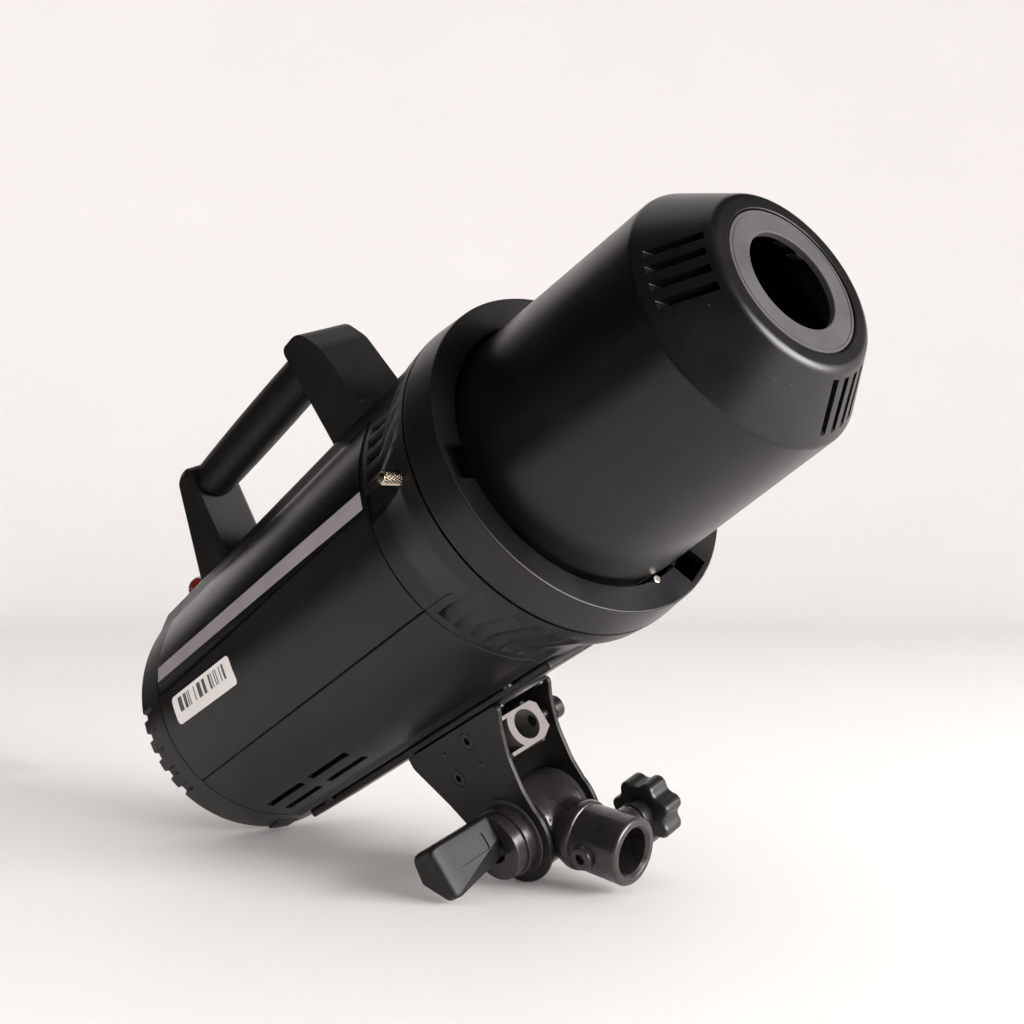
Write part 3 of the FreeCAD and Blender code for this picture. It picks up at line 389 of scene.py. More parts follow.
STICKER = BarredPaper("barred_white_paper", (0.86, 0.83, 0.81), 0.6, grain_mm=0.2, grain_depth=0.01,
                      mottle=0.03,
                      low=(0.10, 0.36), high=(0.90, 0.86))
PLATE = Finish("bracket_powder_coat", (0.0085, 0.0080, 0.0080), 0.40, grain_mm=0.45, grain_depth=0.03,
               dust=0.4, specular=0.36)
CASTING = Finish("enamelled_casting", (0.040, 0.037, 0.036), 0.31, metallic=0.55, grain_mm=1.2,
                 grain_depth=0.03, coat=0.3,
                 dust=0.5, rub=0.08)
BRIGHT = Finish("bright_extrusion", (0.145, 0.126, 0.122), 0.58, metallic=0.2, surface=Surface.BRUSHED,
                grain_mm=0.25,
                grain_depth=0.01, mottle=0.12)
STEEL = Finish("turned_steel", (0.56, 0.53, 0.49), 0.27, metallic=1.0, surface=Surface.BRUSHED, grain_mm=0.3,
               grain_depth=0.01, mottle=0.15)
NICKEL = Finish("warm_nickel", (0.72, 0.64, 0.52), 0.24, metallic=1.0, surface=Surface.SMOOTH,
                grain_depth=0.01,
                mottle=0.1)
BLACK_STEEL = Finish("blackened_steel", (0.05, 0.048, 0.047), 0.33, metallic=0.9, grain_mm=0.5,
                     grain_depth=0.02)
KNOB = Finish("hard_knob_plastic", (0.011, 0.011, 0.011), 0.33, grain_mm=0.6, grain_depth=0.02, dust=0.4)
PADDLE = Finish("lever_plastic", (0.0065, 0.0060, 0.0060), 0.44, grain_mm=0.5, grain_depth=0.03, dust=0.5,
                specular=0.32)
FIBRE = Finish("fibre_washer", (0.03, 0.028, 0.026), 0.75, grain_mm=0.3, grain_depth=0.04)
REAR = Finish("control_panel_black", (0.012, 0.012, 0.013), 0.45, grain_mm=0.3, grain_depth=0.015)
RUBBER_KEY = Finish("grey_silicone_key", (0.10, 0.10, 0.11), 0.6, grain_mm=0.25, grain_depth=0.015)
GLOSS_PART = Finish("gloss_moulding", (0.012, 0.012, 0.012), 0.22, surface=Surface.SMOOTH, grain_depth=0.01,
                    coat=0.3)
WINDOW = ClearFinish("tinted_window", (0.02, 0.03, 0.035), 0.06, surface=Surface.SMOOTH, grain_depth=0.004,
                     tint_through=0.1, coat=0.8, rub=0.02)
RED_DOME = ClearFinish("tinted_red_dome", (0.22, 0.008, 0.006), 0.14, surface=Surface.SMOOTH,
                       grain_depth=0.004,
                       tint_through=0.45, coat=0.6, rub=0.03)
LAMP_GLASS = ClearFinish("frosted_lamp_glass", (0.92, 0.93, 0.92), 0.34, grain_mm=0.4, grain_depth=0.01,
                         tint_through=0.7, mottle=0.03)
SPUN = Finish("spun_reflector", (0.80, 0.79, 0.77), 0.22, metallic=1.0, surface=Surface.BRUSHED, grain_mm=0.4,
              grain_depth=0.01, mottle=0.08)
CERAMIC = Finish("bare_ceramic", (0.78, 0.76, 0.71), 0.65, grain_mm=0.4, grain_depth=0.03, mottle=0.06)
CAN_SLEEVE = Finish("blue_can_sleeve", (0.02, 0.06, 0.22), 0.25, surface=Surface.SMOOTH, grain_depth=0.02)
BOARD = Finish("board_lacquer", (0.01, 0.10, 0.04), 0.35, grain_mm=0.8, grain_depth=0.02)
INNER = Finish("inner_moulding", (0.06, 0.06, 0.06), 0.55, grain_mm=0.4, grain_depth=0.03)

CAD_FINISHES = {
    "reflector_pan": SPUN, "lamp_socket": CERAMIC, "modelling_lamp": LAMP_GLASS, "flash_tube_base": CERAMIC,
    "flash_tube": LAMP_GLASS, "bulkhead": INNER, "fan_frame": INNER, "fan_rotor": INNER,
    "capacitors": CAN_SLEEVE,
    "capacitor_clamp": INNER, "power_board": BOARD, "transformer": INNER, "inlet_pins": NICKEL,
    "release_slide": STEEL, "release_spring": STEEL, "cap_bayonet": RING,
}


# ---- drawing helpers ----
def spot(x: float, r: float, th: float) -> Vector:
    """The point at radius r and angle th round the beam."""
    a = math.radians(th)
    return Vector((x, -r * math.cos(a), r * math.sin(a)))


@dataclass(frozen=True)
class Axis:
    """A line to turn shapes round."""

    start: Vector
    along: Vector

    def at(self, a: float, r: float, turn: float) -> Vector:
        """A point beside the line.

        Args:
            a: Distance along it.
            r: Distance from it.
            turn: Angle round it, in radians.

        Returns:
            The point.
        """
        guide = Vector((0, 0, 1)) if abs(self.along.z) < 0.9 else Vector((0, 1, 0))
        out = (guide - self.along * guide.dot(self.along)).normalized()
        across = self.along.cross(out)
        return self.start + self.along * a + (out * math.cos(turn) + across * math.sin(turn)) * r


BEAM = Axis(Vector((0, 0, 0)), Vector((1, 0, 0)))


def rounded(corners: Sequence[Corner], steps: int = 5) -> list[Point]:
    """Closed outline with its corners rounded.

    Args:
        corners: Points as (a, b, corner radius).
        steps: Pieces in each arc.

    Returns:
        The points of the outline.
    """
    path: list[Point] = []
    for i, (a, b, radius) in enumerate(corners):
        if radius <= 0:
            path.append((a, b))
            continue
        here = Vector((a, b))
        before = (Vector(corners[i - 1][:2]) - here).normalized()
        after = (Vector(corners[(i + 1) % len(corners)][:2]) - here).normalized()
        half = before.angle(after) / 2
        centre = here + (before + after).normalized() * (radius / math.sin(half))
        cut = radius / math.tan(half)
        first, last = here + before * cut - centre, here + after * cut - centre
        start = math.atan2(first.y, first.x)
        sweep = (math.atan2(last.y, last.x) - start + math.pi) % math.tau - math.pi
        for k in range(steps + 1):
            angle = start + sweep * k / steps
            path.append((centre.x + radius * math.cos(angle), centre.y + radius * math.sin(angle)))
    return path


def lofted(rows: Sequence[Sequence[Vector]], closed: bool = False) -> BMesh:
    """Skin over loops of equal length, with flat ends unless it closes on itself.

    Args:
        rows: Loops of points.
        closed: Whether the last loop joins the first.

    Returns:
        The closed mesh.
    """
    bm = bmesh.new()
    made = [[bm.verts.new(p) for p in row] for row in rows]
    count = len(made[0])
    for i in range(len(made) if closed else len(made) - 1):
        low, high = made[i], made[(i + 1) % len(made)]
        for j in range(count):
            k = (j + 1) % count
            bm.faces.new((low[j], low[k], high[k], high[j]))
    if not closed:
        bm.faces.new(made[0])
        bm.faces.new(made[-1])
    return tidy(bm)


def tidy(bm: BMesh) -> BMesh:
    """Merges doubles and points the faces outwards."""
    bmesh.ops.remove_doubles(bm, verts=bm.verts, dist=1e-4)
    bmesh.ops.recalc_face_normals(bm, faces=bm.faces)
    return bm


def turned(corners: Sequence[Corner], axis: Axis = BEAM, segments: int = 96, steps: int = 4) -> BMesh:
    """Solid turned on a lathe.

    Args:
        corners: Outline as (distance along, radius, corner radius).
        axis: The lathe's axis.
        segments: Flats in a turn.
        steps: Pieces in each rounded corner.

    Returns:
        The closed mesh.
    """
    path = rounded(corners, steps)
    rows = [[axis.at(a, max(r, 0.0), math.tau * i / segments) for i in range(segments)] for a, r in path]
    return lofted(rows, closed=True)


def rod(axis: Axis, low: float, high: float, r: float, segments: int = 48) -> BMesh:
    """Plain round bar, mostly a cutter."""
    return turned([(low, 0, 0), (low, r, 0), (high, r, 0), (high, 0, 0)], axis, segments)


def prism(outline: Sequence[Point], place: Callable[[float, float], Vector], depth: Vector) -> BMesh:
    """Outline pushed through a depth.

    Args:
        outline: Points of the outline.
        place: Turns an outline point into a place.
        depth: Push vector.

    Returns:
        The closed mesh.
    """
    row = [place(a, b) for a, b in outline]
    return lofted([row, [p + depth for p in row]])


def side_plate(corners: Sequence[Corner], y0: float, y1: float, steps: int = 6) -> BMesh:
    """Plate drawn in the X-Z plane between two values of Y."""
    return prism(rounded(corners, steps), lambda a, b: Vector((a, y0, b)), Vector((0, y1 - y0, 0)))


def block(low: Sequence[float], high: Sequence[float]) -> BMesh:
    """Box between two corners."""
    corners = [(low[0], low[1]), (high[0], low[1]), (high[0], high[1]), (low[0], high[1])]
    return prism(corners, lambda a, b: Vector((a, b, low[2])), Vector((0, 0, high[2] - low[2])))


def hexagon(axis: Axis, low: float, high: float, r: float) -> BMesh:
    """Six-sided bar, mostly a cutter."""
    rows = [[axis.at(a, r, math.tau * i / 6) for i in range(6)] for a in (low, high)]
    return lofted(rows)


def slot_cutter(middle: Vector, along: Vector, out: Vector, length: float, wide: float, deep: float,
                corner: float = 0.32) -> BMesh:
    """Cutter for a slot with rounded corners.

    Args:
        middle: Centre of the slot on the surface.
        along: Its long direction.
        out: Direction that faces out of the surface.
        length: Its length.
        wide: Its width.
        deep: How far the cutter goes each way.
        corner: Corner radius as a share of the width.

    Returns:
        The cutter.
    """
    across = out.cross(along).normalized()
    r = wide * corner
    ends = [(-length / 2, -wide / 2, r), (length / 2, -wide / 2, r), (length / 2, wide / 2, r),
            (-length / 2, wide / 2, r)]
    return prism(rounded(ends, 3), lambda a, b: middle + along * a + across * b - out * deep,
                 out * (2 * deep))


def joined(parts: Iterable[BMesh]) -> BMesh:
    """One mesh that holds all of the given ones."""
    whole = bmesh.new()
    for part in parts:
        loose = bpy.data.meshes.new("part")
        part.to_mesh(loose)
        part.free()
        whole.from_mesh(loose)
        bpy.data.meshes.remove(loose)
    return whole


def loose_object(bm: BMesh, name: str = "scratch") -> bpy.types.Object:
    """An object for a mesh, linked to the scene."""
    mesh = bpy.data.meshes.new(name)
    bm.to_mesh(mesh)
    bm.free()
    made = bpy.data.objects.new(name, mesh)
    bpy.context.scene.collection.objects.link(made)
    return made


def settled(obj: bpy.types.Object) -> BMesh:
    """The object's shape with its modifiers applied; the object goes.

    Args:
        obj: An object with modifiers.

    Returns:
        The resulting mesh.
    """
    graph = bpy.context.evaluated_depsgraph_get()
    mesh = bpy.data.meshes.new_from_object(obj.evaluated_get(graph))
    bm = bmesh.new()
    bm.from_mesh(mesh)
    bpy.data.meshes.remove(mesh)
    bpy.data.objects.remove(obj)
    return bm


def combined(bm: BMesh, tools: Sequence[BMesh], operation: str = "DIFFERENCE") -> BMesh:
    """Cuts or joins solids.

    Args:
        bm: The workpiece.
        tools: Solids to cut with or add.
        operation: DIFFERENCE or UNION.

    Returns:
        The new mesh.
    """
    work, tool = loose_object(bm), loose_object(joined(tools))
    change = work.modifiers.new("combine", "BOOLEAN")
    change.operation, change.solver, change.object = operation, "EXACT", tool
    change.use_self = len(tools) > 1
    result = settled(work)
    bpy.data.objects.remove(tool)
    bmesh.ops.remove_doubles(result, verts=result.verts, dist=2e-4)
    return result


def eased(bm: BMesh, width: float, steps: int = 2, angle: float = 38.0,
          pick: Callable[[BMEdge], bool] | None = None) -> BMesh:
    """Breaks the sharp edges.

    Args:
        bm: The mesh.
        width: Width of the eased edge.
        steps: Facets across it.
        angle: Edges sharper than this many degrees are eased.
        pick: A further test for edges.

    Returns:
        The same mesh.
    """
    bmesh.ops.dissolve_degenerate(bm, dist=1e-5, edges=bm.edges)
    limit = math.radians(angle)
    chosen = [e for e in bm.edges
              if e.is_manifold and e.calc_face_angle(0.0) > limit and (not pick or pick(e))]
    bmesh.ops.bevel(bm, geom=chosen, offset=width, offset_type="OFFSET", segments=steps, profile=0.5,
                    affect="EDGES", clamp_overlap=True)
    return bm


def stations(low: float, high: float, step: float, crisp: Iterable[float] = (),
             half: float = 0.2) -> list[float]:
    """Values from low to high, closer together round the places where a shape changes quickly.

    Args:
        low: First value.
        high: Last value.
        step: Largest distance between values.
        crisp: Values with a sharp change.
        half: Half the width of the change.

    Returns:
        The sorted values.
    """
    extra = [v + half * k for v in crisp for k in (-1.0, -0.33, 0.33, 1.0) if low < v + half * k < high]
    count = max(1, math.ceil((high - low) / step))
    plain = [low + (high - low) * i / count for i in range(count + 1)]
    near = [v for v in plain if all(abs(v - e) > half * 0.4 for e in extra) or v in (low, high)]
    return sorted(near + extra)


def step_up(value: float, edge: float, half: float) -> float:
    """0 below the edge and 1 above it, with a smooth change between."""
    t = min(1.0, max(0.0, (value - edge + half) / (2 * half)))
    return t * t * (3 - 2 * t)


def between(value: float, low: float, high: float, half: float) -> float:
    """1 inside a range and 0 outside it, with smooth ends."""
    return step_up(value, low, half) * (1 - step_up(value, high, half))


def polar_shell(xs: Sequence[float], ths: Sequence[float], outer: Callable[[float, float], float],
                inner: Callable[[float, float], float], closed: bool) -> BMesh:
    """Wall round the beam, given by its outer and inner radius.

    Args:
        xs: Places along the beam.
        ths: Angles round it.
        outer: Outer radius at (x, th).
        inner: Inner radius at (x, th).
        closed: Whether the wall goes all the way round.

    Returns:
        The closed mesh.
    """
    bm = bmesh.new()

    def grid(radius: Callable[[float, float], float]) -> list[list]:
        """Vertices of one skin."""
        return [[bm.verts.new(spot(x, radius(x, th), th)) for th in ths] for x in xs]

    skin, lining = grid(outer), grid(inner)
    rows, count = len(xs), len(ths)
    columns = count if closed else count - 1
    for i in range(rows - 1):
        for j in range(columns):
            k = (j + 1) % count
            bm.faces.new((skin[i][j], skin[i + 1][j], skin[i + 1][k], skin[i][k]))
            bm.faces.new((lining[i][k], lining[i + 1][k], lining[i + 1][j], lining[i][j]))
        if not closed:
            for j in (0, -1):
                bm.faces.new((skin[i][j], lining[i][j], lining[i + 1][j], skin[i + 1][j]))
    for i in (0, rows - 1):
        for j in range(columns):
            k = (j + 1) % count
            bm.faces.new((skin[i][j], skin[i][k], lining[i][k], lining[i][j]))
    bmesh.ops.recalc_face_normals(bm, faces=bm.faces)
    return bm


# ---- geometry nodes ----
class Weave:
    """Short ways to build a Geometry Nodes tree."""

    def __init__(self, name: str) -> None:
        """Starts an empty tree with a geometry output."""
        self.tree = bpy.data.node_groups.new(name, "GeometryNodeTree")
        self.tree.interface.new_socket("Geometry", in_out="INPUT", socket_type="NodeSocketGeometry")
        self.tree.interface.new_socket("Geometry", in_out="OUTPUT", socket_type="NodeSocketGeometry")
        self.inlet = self.tree.nodes.new("NodeGroupInput")
        self.outlet = self.tree.nodes.new("NodeGroupOutput")

    def socket(self, name: str, kind: str) -> str:
        """Adds a named input and gives its identifier."""
        return self.tree.interface.new_socket(name, in_out="INPUT",
                                              socket_type="NodeSocket" + kind).identifier

    def add(self, kind: str, **inputs: object) -> bpy.types.Node:
        """Adds a node and fills its inputs.

        Args:
            kind: Node type.
            inputs: Input names, with _ for a space, and their values or sockets.

        Returns:
            The node.
        """
        node = self.tree.nodes.new(kind)
        for name, value in inputs.items():
            self.fill(node.inputs[name.replace("_", " ")], value)
        return node

    def fill(self, socket: bpy.types.NodeSocket, value: object) -> None:
        """Links or sets one input."""
        if isinstance(value, bpy.types.NodeSocket):
            self.tree.links.new(value, socket)
        else:
            socket.default_value = value

    def maths(self, operation: str, *values: object) -> bpy.types.NodeSocket:
        """One Math node on the given values."""
        node = self.tree.nodes.new("ShaderNodeMath")
        node.operation = operation
        for socket, value in zip(node.inputs, values):
            self.fill(socket, value)
        return node.outputs[0]

    def close(self, geometry: bpy.types.NodeSocket, material: bpy.types.NodeSocket) -> None:
        """Ends the tree with real geometry in the given material.

        Args:
            geometry: What the tree has made.
            material: The material input.
        """
        real = self.add("GeometryNodeRealizeInstances", Geometry=geometry)
        dressed = self.add("GeometryNodeSetMaterial", Geometry=real.outputs[0], Material=material)
        self.tree.links.new(dressed.outputs[0], self.outlet.inputs[0])


def grown(weave: Weave, base: BMesh, values: dict[str, object]) -> BMesh:
    """Runs a Geometry Nodes tree on a mesh.

    Args:
        weave: The tree.
        base: What it starts from.
        values: Input identifiers and their values.

    Returns:
        The mesh that it makes.
    """
    carrier = loose_object(base)
    modifier = carrier.modifiers.new("weave", "NODES")
    modifier.node_group = weave.tree
    for identifier, value in values.items():
        modifier[identifier] = value
    return settled(carrier)


class Fasteners:
    """Puts copies of one fastener on points, each facing along the point's own direction."""

    def __init__(self) -> None:
        """Builds the tree."""
        weave = Weave("fasteners_on_points")
        self.piece = weave.socket("Fastener", "Object")
        self.scale = weave.socket("Size", "Float")
        self.finish = weave.socket("Finish", "Material")
        out = weave.add("GeometryNodeInputNamedAttribute", Name="facing")
        out.data_type = "FLOAT_VECTOR"
        turn = weave.add("FunctionNodeAlignRotationToVector", Vector=out.outputs[0])
        turn.axis = "Z"
        shape = weave.add("GeometryNodeObjectInfo", Object=weave.inlet.outputs["Fastener"])
        placed = weave.add("GeometryNodeInstanceOnPoints", Points=weave.inlet.outputs["Geometry"],
                           Instance=shape.outputs["Geometry"], Rotation=turn.outputs[0],
                           Scale=weave.inlet.outputs["Size"])
        weave.close(placed.outputs[0], weave.inlet.outputs["Finish"])
        self.weave = weave

    def place(self, fastener: BMesh, spots: Sequence[tuple[Vector, Vector]], finish: Finish) -> BMesh:
        """Copies the fastener to each spot.

        Args:
            fastener: One fastener, standing on the origin along Z.
            spots: Places and the directions they face.
            finish: Their finish.

        Returns:
            All of them as one mesh.
        """
        shape = loose_object(fastener, "fastener")
        points = bmesh.new()
        layer = points.verts.layers.float_vector.new("facing")
        for where, facing in spots:
            points.verts.new(where)[layer] = facing
        values = {self.piece: shape, self.scale: 1.0, self.finish: finish.material()}
        made = grown(self.weave, points, values)
        bpy.data.objects.remove(shape)
        return made


class Ridges:
    """Sets small pyramids or ribs in rows round a rod: knurling and finger ridges."""

    def __init__(self) -> None:
        """Builds the tree."""
        weave = Weave("ridges_round_a_rod")
        names = ("Radius", "Length", "Tooth Across", "Tooth Along", "Tooth High")
        self.sizes = {name: weave.socket(name, "Float") for name in names}
        self.counts = {name: weave.socket(name, "Int") for name in ("Columns", "Rows")}
        self.finish = weave.socket("Finish", "Material")
        given = weave.inlet.outputs
        total = weave.maths("MULTIPLY", given["Columns"], given["Rows"])
        line = weave.add("GeometryNodeMeshLine", Count=total)
        index = weave.add("GeometryNodeInputIndex").outputs[0]
        row = weave.maths("FLOOR", weave.maths("DIVIDE", index, given["Columns"]))
        column = weave.maths("SUBTRACT", index, weave.maths("MULTIPLY", row, given["Columns"]))
        shifted = weave.maths("ADD", column, weave.maths("MULTIPLY", weave.maths("MODULO", row, 2.0), 0.5))
        angle = weave.maths("DIVIDE", weave.maths("MULTIPLY", shifted, math.tau), given["Columns"])
        height = weave.maths("DIVIDE", weave.maths("ADD", row, 0.5), given["Rows"])
        height = weave.maths("MULTIPLY", height, given["Length"])
        cosine, sine = weave.maths("COSINE", angle), weave.maths("SINE", angle)
        across = weave.maths("MULTIPLY", cosine, given["Radius"])
        up = weave.maths("MULTIPLY", sine, given["Radius"])
        place = weave.add("ShaderNodeCombineXYZ", X=across, Y=up, Z=height).outputs[0]
        facing = weave.add("ShaderNodeCombineXYZ", X=cosine, Y=sine).outputs[0]
        spread = weave.add("GeometryNodeSetPosition", Geometry=line.outputs[0], Position=place)
        tooth = weave.add("GeometryNodeMeshCone", Vertices=4, Radius_Top=0.12, Radius_Bottom=0.7071,
                          Depth=1.0)
        first = weave.add("FunctionNodeAlignRotationToVector", Vector=facing)
        first.axis = "Z"
        second = weave.add("FunctionNodeAlignRotationToVector", Rotation=first.outputs[0],
                           Vector=(0.0, 0.0, 1.0))
        second.axis, second.pivot_axis = "X", "Z"
        size = weave.add("ShaderNodeCombineXYZ", X=given["Tooth Along"], Y=given["Tooth Across"],
                         Z=given["Tooth High"]).outputs[0]
        placed = weave.add("GeometryNodeInstanceOnPoints", Points=spread.outputs[0],
                           Instance=tooth.outputs[0],
                           Rotation=second.outputs[0], Scale=size)
        weave.close(placed.outputs[0], given["Finish"])
        self.weave = weave

    def make(self, axis: Axis, columns: int, rows: int, sizes: dict[str, float], finish: Finish) -> BMesh:
        """Ridges round a rod.

        Args:
            axis: The rod's axis, from where the ridges start.
            columns: Teeth in a turn.
            rows: Rows of teeth.
            sizes: Values for the tree's sizes, by name.
            finish: Their finish.

        Returns:
            The ridges as one mesh.
        """
        values: dict[str, object] = {self.sizes[name]: size for name, size in sizes.items()}
        values.update({self.counts["Columns"]: columns, self.counts["Rows"]: rows})
        values[self.finish] = finish.material()
        made = grown(self.weave, bmesh.new(), values)
        turn = Vector((0, 0, 1)).rotation_difference(axis.along).to_matrix().to_4x4()
        made.transform(Matrix.Translation(axis.start) @ turn)
        return made


class SleeveTree:
    """A round sleeve along a line, fuller at its middle."""

    def __init__(self) -> None:
        """Builds the tree."""
        weave = Weave("handle_sleeve")
        self.sizes = {name: weave.socket(name, "Float") for name in ("Length", "Radius", "Fullness")}
        self.finish = weave.socket("Finish", "Material")
        given = weave.inlet.outputs
        end = weave.add("ShaderNodeCombineXYZ", X=given["Length"]).outputs[0]
        line = weave.add("GeometryNodeCurvePrimitiveLine", End=end)
        steps = weave.add("GeometryNodeResampleCurve", Curve=line.outputs[0], Count=49)
        along = weave.add("GeometryNodeSplineParameter").outputs["Factor"]
        swell = weave.maths("POWER", weave.maths("SINE", weave.maths("MULTIPLY", along, math.pi)), 0.6)
        wide = weave.maths("ADD", given["Radius"], weave.maths("MULTIPLY", swell, given["Fullness"]))
        ring = weave.add("GeometryNodeCurvePrimitiveCircle", Resolution=96, Radius=1.0)
        shaped = weave.add("GeometryNodeSetCurveRadius", Curve=steps.outputs[0], Radius=wide)
        tube = weave.add("GeometryNodeCurveToMesh", Curve=shaped.outputs[0], Profile_Curve=ring.outputs[0],
                         Fill_Caps=True)
        if "Scale" in tube.inputs:
            weave.fill(tube.inputs["Scale"], wide)
        weave.close(tube.outputs[0], given["Finish"])
        self.weave = weave

    def make(self, length: float, radius: float, fullness: float, finish: Finish) -> BMesh:
        """The sleeve along X from the origin.

        Args:
            length: Its length.
            radius: Radius at its ends.
            fullness: How much it grows at the middle.
            finish: Its finish.

        Returns:
            The sleeve.
        """
        values = dict(zip(self.sizes.values(), (length, radius, fullness)))
        made = grown(self.weave, bmesh.new(), {**values, self.finish: finish.material()})
        return tidy(made)


# ---- frame and bench ----
@dataclass(frozen=True)
class LampFrame:
    """The lamp's own frame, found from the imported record's ring mount and tilt joint."""

    matrix: Matrix

    @classmethod
    def from_record(cls, record: dict) -> "LampFrame":
        """Works out the frame.

        Args:
            record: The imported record.

        Returns:
            The frame, from lamp millimetres to row metres.
        """
        ring = next(m for m in record["mounts"] if m["name"] == "accessory_bayonet")
        tilt = next(j for j in record["behaviour"]["joints"] if j["name"] == "bracket_tilt")
        beam = Vector(ring["axis"]).normalized()
        side = Vector(tilt["axis"])
        side = (side - beam * side.dot(beam)).normalized()
        turn = Matrix((beam, side, beam.cross(side))).transposed()
        return cls(Matrix.Translation(Vector(ring["pos_m"])) @ turn.to_4x4() @ Matrix.Scale(MM, 4))

    def span(self, node: bpy.types.Object) -> tuple[Vector, Vector]:
        """A CAD node's lowest and highest corners in the lamp frame, in millimetres."""
        back = np.array(self.matrix.inverted())
        flat = np.empty(len(node.data.vertices) * 3)
        node.data.vertices.foreach_get("co", flat)
        points = flat.reshape(-1, 3) @ back[:3, :3].T + back[:3, 3]
        return Vector(points.min(0)), Vector(points.max(0))

    def point(self, place_m: Sequence[float]) -> Vector:
        """A row-frame point in the lamp frame, in millimetres."""
        return self.matrix.inverted() @ Vector(place_m)


@dataclass
class Bench:
    """Where pieces are finished: it places them, dresses them and rides them on their bodies."""

    frame: dict
    lamp: LampFrame
    slots: dict[str, str] = field(default_factory=dict)

    def __post_init__(self) -> None:
        """Reads each node's material slot."""
        self.slots = {s["node"]: s["material_slot"] for s in self.frame["record"]["subparts"]}
        self.fasteners, self.ridges, self.sleeves = Fasteners(), Ridges(), SleeveTree()

    def span(self, node: str) -> tuple[Vector, Vector]:
        """A node's box in the lamp frame."""
        return self.lamp.span(self.frame["nodes"][node])

    def body_of(self, node: str) -> str:
        """The body that a node belongs to."""
        return self.frame["nodes"][node]["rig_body"]

    def piece(self, name: str, bm: BMesh, finishes: Finish | Sequence[Finish], *nodes: str,
              sharp: float = 32.0,
              placed: bool = False, weighted: bool = True) -> bpy.types.Object:
        """Finishes a piece that stands for CAD nodes.

        Args:
            name: The piece's name.
            bm: Its mesh, in the lamp frame.
            finishes: Its finish, or several that its faces choose among.
            nodes: The nodes it stands for; the first gives its body.
            sharp: Edges sharper than this stay crisp.
            placed: Whether the mesh is already in the row frame, in metres.
            weighted: Whether large faces keep flat shading next to small ones.

        Returns:
            The finished object.
        """
        mesh = bpy.data.meshes.new(name)
        bm.to_mesh(mesh)
        bm.free()
        if not placed:
            mesh.transform(self.lamp.matrix)
        chosen = [finishes] if isinstance(finishes, Finish) else list(finishes)
        mesh.materials.clear()
        for finish in chosen:
            mesh.materials.append(finish.material())
        mesh.polygons.foreach_set("use_smooth", [True] * len(mesh.polygons))
        mesh.set_sharp_from_angle(angle=math.radians(sharp))
        made = bpy.data.objects.new(name, mesh)
        bpy.context.scene.collection.objects.link(made)
        if weighted:
            shading = made.modifiers.new("shading", "WEIGHTED_NORMAL")
            shading.keep_sharp = True
        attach(made, self.body_of(nodes[0]))
        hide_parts(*nodes)
        log.info("%s: %d faces, for %s", name, len(mesh.polygons), ", ".join(nodes))
        return made

    def eased_copy(self, name: str, node: str, finish: Finish, width: float,
                   steps: int = 2) -> bpy.types.Object:
        """A piece from a copy of a CAD node, with its edges eased.

        Args:
            name: The piece's name.
            node: The node to copy.
            finish: Its finish.
            width: Width of the eased edges, in millimetres.
            steps: Facets across each.

        Returns:
            The finished object.
        """
        bm = bmesh.new()
        bm.from_mesh(self.frame["nodes"][node].data)
        bm.transform(self.lamp.matrix.inverted())
        bmesh.ops.remove_doubles(bm, verts=bm.verts, dist=0.002)
        bmesh.ops.dissolve_limit(bm, angle_limit=math.radians(0.4), verts=bm.verts, edges=bm.edges)
        return self.piece(name, eased(bm, width, steps), finish, node)

    def dress(self, node: str, finish: Finish) -> None:
        """Gives a CAD node that stays its finish."""
        mesh = self.frame["nodes"][node].data
        mesh.materials.clear()
        mesh.materials.append(finish.material())
        log.info("%s: CAD node in %s", node, finish.name)


